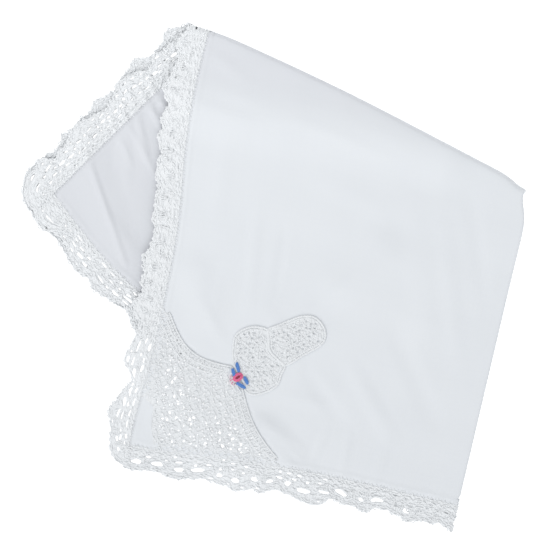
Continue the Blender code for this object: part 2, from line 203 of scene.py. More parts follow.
@dataclass
class Pile:
    """The handkerchief folded in four: where each point of the flat cloth comes to lie."""

    right_fold: float = CLOTH_SIZE / 2
    top_fold: float = 139.0
    top_fold_rise: float = 0.297
    top_fold_rise_behind: float = 0.22
    layer_pitch: float = 1.6
    solid_thickness: float = 1.0
    waviness: float = 0.13
    settle_width: float = 24.0
    settle_clear_of_fold: float = 2.5
    settle_clear_of_edge: float = 22.0
    wide_crease: float = 9.0
    crease_fade: float = 0.55
    triangle_share: float = 3.0
    third_wave: float = 0.35
    # lengths across and up, and start, of the soft waves: a length below 0 runs the other way
    waves: tuple = ((5.3, 9.1, 0.8), (-13.0, 6.7, 0.0), (3.1, -7.9, 2.0))
    bud_solid: Oval = Oval(36.2, 32.0, 2.0, 1.2, pi / 4)
    bud_solid_points: int = 16
    bud_solid_heights: tuple[float, float] = (0.8, 1.7)
    corners: dict[str, Spot] = field(default_factory=lambda: {
        "fold_meeting": (111.3, 36.6),
        "top_fold_end": (-28.2, 105.4),
        "top_fold_end_inside": (-25.4, 104.0),
        "right_fold_end": (79.8, -98.0),
        "butterfly_corner": (-55.7, -66.2),
        "corner_behind_it": (-25.2, -48.6),
        "right_fold_end_below": (4.9, -62.4),
        "left_corner": (-93.5, 39.1),
        "left_corner_inside": (-91.8, 38.3),
    })
    # where the lines across a pair of layers start, and where they end inside and outside
    lines: tuple = (
        ("fold_meeting", "top_fold_end_inside", "top_fold_end"),
        ("right_fold_end", "corner_behind_it", "butterfly_corner"),
        ("right_fold_end_below", "left_corner_inside", "left_corner"),
    )
    # u, v, reach, shift x, shift y
    flat_swells: tuple = (
        (0.0, 0.0, 30.0, -5.6, -5.2),
        (38.0, 0.0, 30.0, 0.0, -1.8),
        (0.0, 128.0, 34.0, -2.3, 0.0),
        (0.0, 100.0, 38.0, 2.0, 0.0),
        (40.0, 276.0, 45.0, -4.8, -4.4),
        (236.0, 276.0, 45.0, -4.8, -4.4),
    )
    # x, y, reach, shift x, shift y
    pile_swells: tuple = (
        (111.3, 36.6, 9.0, -3.8, -0.6),
        (28.6, 78.7, 60.0, 0.8, 1.6),
        (-38.0, 113.0, 14.0, 1.5, -3.2),
    )
    # x0, y0, x1, y1, half width, height: the ridges that the solids have too
    ridges: tuple = (
        (-34.0, 75.0, 74.0, 52.0, 18.0, 1.8),
        (-33.0, 2.0, -28.0, -14.0, 12.0, 0.9),
        (48.0, 10.0, 32.0, -4.0, 16.0, 1.2),
        (-4.0, -66.0, 12.0, -84.0, 10.0, 1.8),
        (-81.5, 58.1, -66.0, 14.0, 11.0, 3.0),
    )
    # x0, y0, x1, y1, half width, height: finer creases of the top layers
    creases: tuple = (
        (-30.5, -9.0, -21.0, -28.0, 3.5, 0.55),
        (-24.0, 4.0, -29.0, -16.0, 4.0, -0.35),
        (40.0, 4.0, 13.5, -17.6, 5.0, 0.45),
        (46.0, -2.0, 20.0, -22.0, 4.0, -0.30),
        (-8.0, -58.0, 7.0, -71.0, 2.6, 0.60),
        (-4.9, -64.5, 11.4, -79.6, 2.4, -0.45),
        (-1.0, -60.0, 14.0, -74.0, 3.2, 0.35),
        (2.0, -50.0, 26.0, -56.0, 5.0, 0.30),
        (-20.0, 60.0, -24.0, 20.0, 5.0, 0.30),
        (60.0, 30.0, 66.0, -20.0, 9.0, 0.35),
        (20.0, 40.0, 58.0, 24.0, 8.0, 0.30),
        (-6.0, 30.0, -10.0, -12.0, 4.5, 0.45),
        (6.0, 20.0, 2.0, -6.0, 3.6, -0.40),
        (-2.0, -14.0, 12.0, -40.0, 5.0, 0.45),
        (14.0, -40.0, 30.0, -62.0, 5.5, -0.45),
        (34.0, -38.0, 52.0, -70.0, 6.0, 0.50),
        (52.0, -20.0, 70.0, -62.0, 7.0, -0.45),
        (74.0, 20.0, 80.0, -36.0, 6.0, 0.45),
        (86.0, 34.0, 92.0, -10.0, 5.0, -0.40),
        (30.0, -84.0, 34.0, -68.0, 3.0, 0.45),
        (44.0, -88.0, 50.0, -72.0, 3.4, 0.45),
        (17.0, -80.0, 24.0, -66.0, 2.6, 0.45),
        (-30.0, 78.0, -8.0, 70.0, 5.0, -0.45),
        (-26.0, 96.0, -12.0, 84.0, 4.0, 0.40),
        (10.0, 66.0, 50.0, 50.0, 5.0, 0.35),
    )
    # x0, y0, x1, y1, half width, height: creases of the left triangle
    triangle_creases: tuple = (
        (-81.3, 57.6, -63.2, 6.2, 2.3, 0.95),
        (-57.4, 81.7, -46.0, 62.0, 2.4, 0.75),
        (-60.0, 78.0, -54.0, 52.0, 2.8, 0.65),
        (-53.0, 84.0, -45.5, 72.0, 2.0, 0.70),
        (-66.0, 74.0, -50.0, 44.0, 2.2, 0.50),
        (-70.0, 70.0, -60.0, 48.0, 2.0, 0.45),
        (-63.0, 74.0, -62.0, 40.0, 3.5, 0.35),
        (-66.0, 71.0, -69.0, 48.0, 3.0, -0.30),
        (-72.0, 30.0, -60.0, 12.0, 4.0, 0.30),
    )

    def __post_init__(self) -> None:
        """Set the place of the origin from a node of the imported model."""
        self.shift = np.zeros(3)
        u, v = np.array(self.bud_solid.outline(self.bud_solid_points)).T
        rings = [self.place(u, v, np.full(len(u), height)) for height in self.bud_solid_heights]
        points = np.concatenate(rings)
        low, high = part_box("bud")
        self.shift = (np.array(low) + np.array(high) - points.min(axis=0) - points.max(axis=0)) / 2

    def crease_height(self, u: Numbers) -> Numbers:
        """Height of the top fold on the flat cloth, above its lower edge."""
        rise = np.where(u < self.right_fold, self.top_fold_rise, self.top_fold_rise_behind)
        return self.top_fold + rise * np.abs(u - self.right_fold)

    def spot(self, name: str) -> Numbers:
        """A named corner."""
        return np.array(self.corners[name])

    def between(self, first: str, second: str, share: Numbers) -> Numbers:
        """Points between two named corners."""
        return self.spot(first) + (self.spot(second) - self.spot(first)) * share[:, None]

    def settled(self, point: Numbers) -> Numbers:
        """How far the top pair has come down to the surface.

        Args:
            point: one row of x, y for each point.

        Returns:
            A share from 0 to 1 for each point.
        """
        held = 1.0
        for start, end, clear in (
            ("fold_meeting", "right_fold_end_below", self.settle_clear_of_fold),
            ("right_fold_end_below", "left_corner", self.settle_clear_of_edge),
        ):
            way = self.spot(end) - self.spot(start)
            way /= np.linalg.norm(way)
            beyond = (point - self.spot("right_fold_end_below")) @ np.array([-way[1], way[0]])
            held = held * (1 - smooth((beyond - clear) / self.settle_width))
        return 1 - held

    @staticmethod
    def swollen(point: Numbers, place: Numbers, rows: Sequence) -> Numbers:
        """Shift points by each swell that reaches their place.

        Args:
            point: one row of x, y for each point.
            place: the two coordinates that each point's nearness is measured by.
            rows: place, reach and shift of each swell.

        Returns:
            The points again.
        """
        moved = point.copy()
        for x, y, reach, shift_x, shift_y in rows:
            near = np.exp(-((place[:, 0] - x) ** 2 + (place[:, 1] - y) ** 2) / reach ** 2)
            moved += near[:, None] * np.array([shift_x, shift_y])
        return moved

    def relief(self, point: Numbers, rows: Sequence) -> Numbers:
        """Height that soft ridges give at points of the surface.

        Args:
            point: one row of x, y for each point.
            rows: both ends, half width and height of each ridge. Narrow ones fade at their ends.

        Returns:
            A height for each point.
        """
        height = np.zeros(len(point))
        for x0, y0, x1, y1, half_width, top in rows:
            away, share = way_to_line(point, (x0, y0), (x1, y1))
            fade = self.crease_fade if half_width < self.wide_crease else 0.0
            ease = 1 - fade * np.abs(2 * share - 1) ** 2
            height += ease * top * np.cos(pi * np.clip(away / (2 * half_width), 0.0, 0.5)) ** 2
        return height

    def plain(
        self, u: Numbers, v: Numbers, w: Numbers,
    ) -> tuple[Numbers, Numbers, Numbers, Numbers]:
        """Points in the plain folded pile.

        Args:
            u: place across the flat cloth.
            v: place up the flat cloth.
            w: height over the cloth's middle.

        Returns:
            The point on the surface, its height, how far it is above the top fold's
            inside, from 0 to 1, and how far the top pair has settled there.
        """
        pair = self.layer_pitch / 2
        in_1, rise_1, side_1 = bend(self.right_fold - u, pair, w)
        crease = self.crease_height(u)
        in_2, rise_2, side_2 = bend(crease - v, self.layer_pitch, rise_1)
        front, above = (1 + side_1) / 2, (1 + side_2) / 2
        across = (in_1 / (self.right_fold - pi * pair / 2))[:, None]
        hinge, edge, edge_below = (
            self.spot(start) + (self.between(inner, outer, front) - self.spot(start)) * across
            for start, inner, outer in self.lines
        )
        down = (crease - pi * self.layer_pitch / 2)[:, None]
        down_below = (CLOTH_SIZE - crease - pi * self.layer_pitch / 2)[:, None]
        lower, upper = (edge_below - hinge) / down_below, (edge - hinge) / down
        step = lower + (upper - lower) * above[:, None]
        flat = np.stack([u, v], axis=1)
        point = self.swollen(hinge + in_2[:, None] * step, flat, self.flat_swells)
        settled = self.settled(point) * above
        middle = 1.5 * self.layer_pitch + self.solid_thickness / 2
        return point, middle + rise_2 - 2 * self.layer_pitch * settled, above, settled

    def place(self, u: Numbers, v: Numbers, w: Numbers) -> Numbers:
        """Points of the flat cloth in the row frame, in metres.

        Args:
            u: place across the flat cloth.
            v: place up the flat cloth.
            w: height over the cloth's middle.

        Returns:
            One row of x, y, z for each point.
        """
        middle_point, middle, above, settled = self.plain(u, v, np.zeros_like(w))
        point, height, _, _ = self.plain(u, v, w)
        lowest, full = self.solid_thickness / 2, 3 * self.layer_pitch
        lift = (middle - lowest) * self.relief(middle_point, self.ridges) / full
        layer = np.clip((middle - lowest) / (full - 2 * self.layer_pitch * settled), 0.0, 1.0)
        fine = self.relief(middle_point, self.creases) * layer * above
        triangle = self.relief(middle_point, self.triangle_creases) * self.triangle_share
        fine += triangle * layer * (1 - above)
        x, y = middle_point.T
        first, second, third = (
            np.sin(x / across + y / up + start) for across, up, start in self.waves
        )
        fine += self.waviness * layer * (first * second + third * self.third_wave)
        placed = self.swollen(point, point, self.pile_swells)
        return np.column_stack([placed, height + lift + fine]) * MM + self.shift


def sides_of(loop: Sequence) -> list:
    """Each point of a closed loop with the one after it."""
    return list(zip(loop, [*loop[1:], loop[0]]))


def inside(u: Numbers, v: Numbers, loop: Loop) -> Numbers:
    """Whether points lie inside a closed loop.

    Args:
        u: place across of each point.
        v: place up of each point.
        loop: the loop.

    Returns:
        True or False for each point.
    """
    found = np.zeros(len(u), bool)
    for (x0, y0), (x1, y1) in sides_of(loop):
        if y0 != y1:
            found ^= ((y0 > v) != (y1 > v)) & (u < x0 + (v - y0) * (x1 - x0) / (y1 - y0))
    return found


def away_from(u: Numbers, v: Numbers, loop: Loop) -> Numbers:
    """Shortest way from points to a closed loop.

    Args:
        u: place across of each point.
        v: place up of each point.
        loop: the loop.

    Returns:
        A distance for each point.
    """
    spots, best = np.stack([u, v], axis=1), np.full(len(u), np.inf)
    for start, end in sides_of(loop):
        best = np.minimum(best, way_to_line(spots, start, end)[0])
    return best


def anticlockwise(loop: Loop) -> list[Spot]:
    """The same closed loop, turned round if it runs clockwise."""
    area = sum(x0 * y1 - x1 * y0 for (x0, y0), (x1, y1) in sides_of(loop))
    return list(loop) if area > 0 else list(loop)[::-1]


def lengths_along(line: Numbers) -> Numbers:
    """Way along a line from its start to each of its points."""
    return np.concatenate([[0.0], np.cumsum(np.linalg.norm(np.diff(line, axis=0), axis=1))])


def spaced(line: Loop, step: float, closed: bool = False) -> Numbers:
    """A line again, with points about one step apart.

    Args:
        line: the points of the line.
        step: the way between two new points.
        closed: whether the line comes back to its first point.

    Returns:
        The new points, one row each.
    """
    points = np.array([*line, line[0]] if closed else line, float)
    along = lengths_along(points)
    places = np.linspace(0.0, along[-1], max(2, ceil(along[-1] / step) + 1))
    return np.stack([np.interp(places, along, axis) for axis in points.T], axis=1)


def unit(rows: Numbers) -> Numbers:
    """Rows again, each of length 1."""
    return rows / np.maximum(np.linalg.norm(rows, axis=1), TINY)[:, None]


@dataclass
class Strand:
    """One thread: its line as rows of u, v, w, with the way along it and its radius at each row."""

    line: Numbers
    along: Numbers
    radius: Numbers


@dataclass
class Threadwork:
    """Threads that are laid on the flat cloth, folded with it and made into one mesh.

    A thread has an even number of sides, because its ends are closed with faces of four corners.
    """

    name: str
    pile: Pile
    sides: int = 6
    bead_length: float = 1.5
    tip: float = 0.55
    lift: float = 0.05
    weak: float = 1e-7
    aside: Way = (0.31, 0.77, 0.56)
    strands: list[Strand] = field(default_factory=list)

    def lay(
        self, u: Numbers, v: Numbers, w: Numbers, radius: float,
        thickness: Thickness = Thickness.PLAIN, phase: float = 0.0,
    ) -> None:
        """Lay one thread.

        Args:
            u: place across the flat cloth of each of its points.
            v: place up the flat cloth.
            w: height over the cloth's middle.
            radius: mean radius.
            thickness: how the radius runs along the thread.
            phase: where along a bead the thread starts, in turns.
        """
        line = np.column_stack([u, v, np.broadcast_to(w, np.shape(u))])
        along = lengths_along(line)
        beads = np.cos(2 * pi * (along / self.bead_length + phase))
        self.strands.append(Strand(line, along, radius * (1 + thickness.value * beads)))

    def rings(self, line: Numbers, radius: Numbers, first: Numbers, last: Numbers) -> Numbers:
        """Points round the threads.

        Args:
            line: rows of u, v, w of all the threads.
            radius: radius at each row, in metres.
            first: whether a row starts a thread.
            last: whether a row ends one.

        Returns:
            One row of x, y, z for each point, a ring of them for each row of the line.
        """
        u, v, w = line.T
        middle = self.pile.place(u, v, w)
        up = self.pile.place(u, v, w + self.lift) - middle
        rows = np.arange(len(line))
        way = unit(middle[np.where(last, rows, rows + 1)] - middle[np.where(first, rows, rows - 1)])
        beside = np.cross(way, up)
        weak = np.linalg.norm(beside, axis=1) < self.weak
        beside[weak] = np.cross(way[weak], np.array(self.aside))
        beside = unit(beside)
        over = np.cross(beside, way)
        angles = (2 * pi * (np.arange(self.sides) + 0.5) / self.sides)[None, :, None]
        ring = beside[:, None] * np.cos(angles) + over[:, None] * np.sin(angles)
        return (middle[:, None] + ring * radius[:, None, None]).reshape(-1, 3)

    def walls(self, rows: Numbers, along: Numbers) -> tuple[Numbers, Numbers]:
        """Faces between the rings.

        Args:
            rows: the rings that another ring of their thread follows.
            along: way along its thread of every ring.

        Returns:
            One row of point numbers for each face, and one of coordinates for each corner of each.
        """
        turn = np.arange(self.sides)
        after = (turn + 1) % self.sides
        base, onward = rows[:, None] * self.sides, (rows[:, None] + 1) * self.sides
        quads = np.stack([base + turn, onward + turn, onward + after, base + after], axis=-1)
        low, high, here, there = np.broadcast_arrays(
            turn / self.sides, (turn + 1) / self.sides,
            along[rows][:, None], along[rows + 1][:, None],
        )
        coordinates = np.stack([here, low, there, low, there, high, here, high], axis=-1)
        return quads.reshape(-1, 4), coordinates.reshape(-1, 2)

    def build(self) -> bpy.types.Object:
        """Make the mesh of all the threads.

        Returns:
            The new object, with its thread coordinates in a UV layer.
        """
        line = np.concatenate([strand.line for strand in self.strands])
        along = np.concatenate([strand.along for strand in self.strands])
        radius = np.concatenate([strand.radius for strand in self.strands]) * MM
        ends = np.cumsum([len(strand.line) for strand in self.strands])
        first, last = np.zeros(len(line), bool), np.zeros(len(line), bool)
        first[[0, *ends[:-1]]], last[ends - 1] = True, True
        points = self.rings(line, radius * np.where(first | last, self.tip, 1.0), first, last)
        quads, coordinates = self.walls(np.flatnonzero(~last), along)
        faces = [quads]
        for closed, order in ((first, 1), (last, -1)):
            for start in range(1, self.sides - 1, 2):
                corners = np.array([0, start, start + 1, start + 2])[::order]
                faces.append(np.flatnonzero(closed)[:, None] * self.sides + corners)
        faces = np.concatenate(faces)
        plain = np.zeros((4 * (len(faces) - len(quads)), 2))
        return make_mesh(self.name, points, faces, np.concatenate([coordinates, plain]), "thread")


def make_mesh(
    name: str, points: Numbers, faces: Numbers, coordinates: Numbers, layer: str,
) -> bpy.types.Object:
    """Make one smooth mesh object.

    Args:
        name: name of the piece.
        points: one row of x, y, z for each point, in metres.
        faces: one row of point numbers for each face, all of one size.
        coordinates: one row for each corner of each face.
        layer: name of the UV layer that keeps the coordinates.

    Returns:
        The object, linked to the scene.
    """
    mesh = bpy.data.meshes.new(name)
    corners = faces.shape[1]
    mesh.vertices.add(len(points))
    mesh.vertices.foreach_set("co", points.astype(np.float32).ravel())
    mesh.loops.add(faces.size)
    mesh.loops.foreach_set("vertex_index", faces.astype(np.int32).ravel())
    mesh.polygons.add(len(faces))
    mesh.polygons.foreach_set("loop_start", (np.arange(len(faces)) * corners).astype(np.int32))
    mesh.update(calc_edges=True)
    mesh.validate()
    mesh.shade_smooth()
    kept = mesh.uv_layers.new(name=layer)
    kept.data.foreach_set("uv", coordinates.astype(np.float32).ravel())
    thing = bpy.data.objects.new(name, mesh)
    bpy.context.scene.collection.objects.link(thing)
    return thing


def triangulate(
    outline: Loop, holes: Sequence[Loop], loops: Sequence[Loop], spots: Loop,
) -> tuple[Numbers, Numbers]:
    """Fill an outline with triangles, round its holes.

    Args:
        outline: the closed outline.
        holes: closed outlines that are left open.
        loops: closed lines that triangles keep to.
        spots: further points.

    Returns:
        One row of two coordinates for each point, and one row of point numbers for each triangle.
    """
    points, edges, faces = [], [], []
    for loop in (outline, *holes):
        faces.append(list(range(len(points), len(points) + len(loop))))
        points += anticlockwise(loop)
    for loop in loops:
        edges += sides_of(range(len(points), len(points) + len(loop)))
        points += loop
    points += spots
    result = delaunay_2d_cdt([Vector(point) for point in points], edges, faces, 0, SAME_SPOT, True)
    wanted = [face for face, origins in zip(result[2], result[5]) if set(origins) == {0}]
    used, triangles = np.unique(np.array(wanted), return_inverse=True)
    return np.array([tuple(result[0][number]) for number in used]), triangles.reshape(-1, 3)


def closed_sheet(
    name: str, pile: Pile, places: Numbers, triangles: Numbers, middle: Numbers, half: Numbers,
    flat: Numbers,
) -> bpy.types.Object:
    """Make one closed thin sheet on the folded cloth.

    Args:
        name: name of the piece.
        pile: the folds.
        places: one row of u, v for each point.
        triangles: one row of point numbers for each triangle.
        middle: height of the sheet's middle over the cloth's.
        half: half its thickness.
        flat: coordinates that its finish uses, one row for each point.

    Returns:
        The object, with the coordinates in a UV layer named flat.
    """
    u, v = places.T
    points = np.concatenate([pile.place(u, v, middle + half), pile.place(u, v, middle - half)])
    count = len(u)
    ways = np.concatenate([triangles[:, [0, 1]], triangles[:, [1, 2]], triangles[:, [2, 0]]])
    found = {tuple(way) for way in ways.tolist()}
    rim = np.array([way for way in sorted(found) if way[::-1] not in found])
    sides = np.concatenate([
        np.column_stack([rim[:, 0], rim[:, 0] + count, rim[:, 1] + count]),
        np.column_stack([rim[:, 0], rim[:, 1] + count, rim[:, 1]]),
    ])
    every = np.concatenate([triangles, triangles[:, ::-1] + count, sides])
    return make_mesh(name, points, every, flat[every.ravel() % count], "flat")


class Level:
    """A number that varies over a surface: the output of a node, with Python's operators."""

    def __init__(self, graph: "Graph", socket: bpy.types.NodeSocket) -> None:
        """Keep the graph and the socket."""
        self.graph = graph
        self.socket = socket

    def join(self, operation: str, *values: Any) -> "Level":
        """The result of a Math node on some values."""
        return self.graph.add("ShaderNodeMath", {"operation": operation}, dict(enumerate(values)))

    def __add__(self, other: Any) -> "Level":
        """Add."""
        return self.join("ADD", self, other)

    __radd__ = __add__

    def __mul__(self, other: Any) -> "Level":
        """Multiply."""
        return self.join("MULTIPLY", self, other)

    __rmul__ = __mul__

    def __sub__(self, other: Any) -> "Level":
        """Subtract."""
        return self.join("SUBTRACT", self, other)

    def __rsub__(self, other: Any) -> "Level":
        """Subtract from a number."""
        return self.join("SUBTRACT", other, self)

    def sine(self) -> "Level":
        """The sine of the value."""
        return self.join("SINE", self)


class Graph:
    """The nodes of one material."""

    def __init__(self, name: str) -> None:
        """Start a material with one shader."""
        self.material = bpy.data.materials.new(name)
        self.material.use_nodes = True
        self.tree = self.material.node_tree
        self.shader = self.tree.nodes["Principled BSDF"]

    def add(
        self, kind: str, settings: dict[str, Any], inputs: dict[Any, Any], output: Any = 0,
    ) -> Level:
        """Add one node.

        Args:
            kind: the node's type.
            settings: its own settings, or a ramp's stops, which are set first.
            inputs: values or links of its sockets, by name or number.
            output: the output that is wanted, by name or number.

        Returns:
            The wanted output.
        """
        node = self.tree.nodes.new(kind)
        for name, value in settings.items():
            if name == "stops":
                for element, (place, shade) in zip(node.color_ramp.elements, value):
                    element.position, element.color = place, (shade, shade, shade, 1.0)
            else:
                setattr(node, name, value)
        self.feed(node, inputs)
        return Level(self, node.outputs[output])

    def feed(self, node: bpy.types.Node, inputs: dict[Any, Any]) -> None:
        """Set or link the sockets of a node."""
        for name, value in inputs.items():
            if isinstance(value, Level):
                self.tree.links.new(value.socket, node.inputs[name])
            else:
                node.inputs[name].default_value = value

    def noise(self, vector: Level, scale: float, detail: float = 2.0) -> Level:
        """A soft noise from 0 to 1."""
        inputs = {"Vector": vector, "Scale": scale, "Detail": detail}
        return self.add("ShaderNodeTexNoise", {}, inputs)

    def stretched(self, vector: Level, scale: Way) -> Level:
        """Coordinates multiplied along each axis."""
        return self.add("ShaderNodeVectorMath", {"operation": "MULTIPLY"}, {0: vector, 1: scale})

    def tint(self, first: Level | Colour, second: Level | Colour, share: Level) -> Level:
        """A colour between two, each a colour or a link."""
        ends = [end if isinstance(end, Level) else (*end, 1.0) for end in (first, second)]
        inputs = {"Factor": share, 6: ends[0], 7: ends[1]}
        return self.add("ShaderNodeMix", {"data_type": "RGBA"}, inputs, 2)

    def bump(self, height: Level, strength: float, distance: float) -> Level:
        """A normal from a height."""
        inputs = {"Height": height, "Strength": strength, "Distance": distance}
        return self.add("ShaderNodeBump", {}, inputs, "Normal")

    def coordinates(self, layer: str) -> tuple[Level, Level, Level]:
        """Coordinates of a surface.

        Args:
            layer: the UV layer that keeps them.

        Returns:
            The coordinates together, and each of the two alone.
        """
        both = self.add("ShaderNodeUVMap", {"uv_map": layer}, {})
        first = self.add("ShaderNodeSeparateXYZ", {}, {0: both})
        return both, first, Level(self, first.socket.node.outputs[1])

    def dress(
        self, colour: Level, normal: Level, roughness: float, sheen: float, gloss: float,
    ) -> bpy.types.Material:
        """Feed the shader.

        Args:
            colour: base colour.
            normal: normal of the relief.
            roughness: roughness of the surface.
            sheen: share of the soft sheen of fibres.
            gloss: level of the mirror-like part.

        Returns:
            The material.
        """
        self.feed(self.shader, {
            "Base Color": colour, "Normal": normal, "Roughness": roughness, "Sheen Weight": sheen,
            "Specular IOR Level": gloss,
        })
        return self.material


@dataclass(frozen=True)
class Lawn:
    """Fine white cotton cloth: a plain weave with uneven threads, and painted shade that darkens
    the lower pair.
    """

    light: Colour = (0.780, 0.800, 0.824)
    dark: Colour = (0.725, 0.750, 0.782)
    # painted shade: colour, start, end and strength of the darkening of the lower pair, past the
    # top fold
    painted_shade_colour: Colour = (0.60, 0.605, 0.645)
    painted_shade_from: float = 0.140
    painted_shade_to: float = 0.170
    painted_shade_share: float = 0.42
    weave_pitch: float = 0.42
    weave_height: float = 0.25
    slub_across: float = 900.0
    slub_along: float = 34.0
    cloud: float = 22.0
    cloud_share: float = 0.6
    bump: float = 0.35
    relief: float = 0.00012
    roughness: float = 0.88
    sheen: float = 0.12
    gloss: float = 0.25

    def make(self) -> bpy.types.Material:
        """Make the material, on the cloth's flat coordinates.

        Returns:
            The material.
        """
        graph = Graph("cotton_lawn_fine")
        flat, across, up = graph.coordinates("flat")
        turns = 2 * pi / (self.weave_pitch * MM)
        weave = (across * turns).sine() * (up * turns).sine()
        long, short = self.slub_across, self.slub_along
        warp = graph.noise(graph.stretched(flat, (long, short, 1.0)), 1.0)
        weft = graph.noise(graph.stretched(flat, (short, long, 1.0)), 1.0)
        slub = (warp + weft) * 0.5
        cloud = graph.noise(flat, self.cloud, 3.0)
        shade = slub * (1 - self.cloud_share) + cloud * self.cloud_share
        # painted shade: past the top fold, where the lower pair lies, the colour is blended towards
        # a darker grey
        painted_shade = graph.add(
            "ShaderNodeMapRange", {"interpolation_type": "SMOOTHSTEP"}, {
                "Value": up, "From Min": self.painted_shade_from, "From Max": self.painted_shade_to,
                "To Max": self.painted_shade_share,
            },
        )
        colour = graph.tint(graph.tint(self.dark, self.light, shade), self.painted_shade_colour, painted_shade)
        normal = graph.bump(weave * self.weave_height + slub, self.bump, self.relief)
        return graph.dress(colour, normal, self.roughness, self.sheen, self.gloss)


@dataclass(frozen=True)
class Thread:
    """Twisted thread: plies that run round it and small uneven spots, with painted shade where
    their relief sinks.
    """

    name: str
    light: Colour
    dark: Colour
    roughness: float = 0.8
    sheen: float = 0.1
    gloss: float = 0.3
    ply_length: float = 0.75
    plies: int = 2
    ply_share: float = 0.45
    fleck: float = 1400.0
    bump: float = 0.6
    relief: float = 0.00006

    def make(self) -> bpy.types.Material:
        """Make the material, on the thread's own coordinates.

        Returns:
            The material.
        """
        graph = Graph(self.name)
        _, along, round_it = graph.coordinates("thread")
        turns = along * (1 / self.ply_length) + round_it * self.plies
        ply = (turns * (2 * pi)).sine() * 0.5 + 0.5
        fleck = graph.noise(graph.add("ShaderNodeTexCoord", {}, {}, "Object"), self.fleck)
        # painted shade: the colour follows the same plies and flecks as the bump, darker in the
        # grooves
        shade = ply * self.ply_share + fleck * (1 - self.ply_share)
        colour = graph.tint(self.dark, self.light, shade)
        normal = graph.bump(ply * 0.7 + fleck * 0.5, self.bump, self.relief)
        return graph.dress(colour, normal, self.roughness, self.sheen, self.gloss)


@dataclass(frozen=True)
class CloseStitches:
    """The close stitches between the drawn threads: short rows of thread, seen as their relief,
    with painted shade in its low parts.
    """

    name: str
    light: Colour
    dark: Colour
    row_pitch: float = 0.8
    stitch_length: float = 1.3
    drift: float = 5.0
    drift_scale: float = 260.0
    lean: float = 1.2
    fibre: float = 2600.0
    bump: float = 0.5
    relief: float = 0.0003
    roughness: float = 0.85
    sheen: float = 0.1
    gloss: float = 0.25

    def make(self) -> bpy.types.Material:
        """Make the material, on the ground's flat coordinates in metres.

        Returns:
            The material.
        """
        graph = Graph(self.name)
        flat, along, out = graph.coordinates("flat")
        drift = graph.noise(flat, self.drift_scale) * self.drift
        rows = (out * (2 * pi / (self.row_pitch * MM)) + drift).sine()
        turns = along * (2 * pi / (self.stitch_length * MM)) + rows * self.lean + drift
        height = rows * 0.3 + turns.sine() * 0.3 + graph.noise(flat, self.fibre, 3.0) * 0.5
        # painted shade: the colour darkens where the stitch relief is low
        colour = graph.tint(self.dark, self.light, height * 0.4 + 0.4)
        normal = graph.bump(height, self.bump, self.relief)
        return graph.dress(colour, normal, self.roughness, self.sheen, self.gloss)


@dataclass
class Window:
    """The opening at the butterfly's corner that the net is let into, clockwise."""

    # u, v, bow to the left of the way, steps: each side runs to the next row's point
    sides: tuple = (
        (3.2, 54.0, 6.0, 20),
        (33.0, 37.3, 0.0, 4),
        (38.6, 30.0, 2.4, 18),
        (58.5, 3.2, 0.0, 18),
        (17.0, 3.2, -2.6, 10),
        (6.5, 18.0, 0.4, 16),
    )

    def side(self, number: int, inwards: float = 0.0) -> list[Spot]:
        """Points of one side, with its two ends.

        Args:
            number: which side.
            inwards: how far it is moved inwards.

        Returns:
            The points.
        """
        u0, v0, bow, steps = self.sides[number]
        start, end = np.array([u0, v0]), np.array(self.sides[(number + 1) % len(self.sides)][:2])
        way = end - start
        right = np.array([way[1], -way[0]]) / np.linalg.norm(way)
        shares = np.arange(steps + 1) / steps
        across = bow * np.sin(pi * shares) + inwards
        spots = start + shares[:, None] * way + across[:, None] * right
        return as_spots(*spots.T)

    def loop(self) -> list[Spot]:
        """The whole outline."""
        return [spot for number in range(len(self.sides)) for spot in self.side(number)[:-1]]


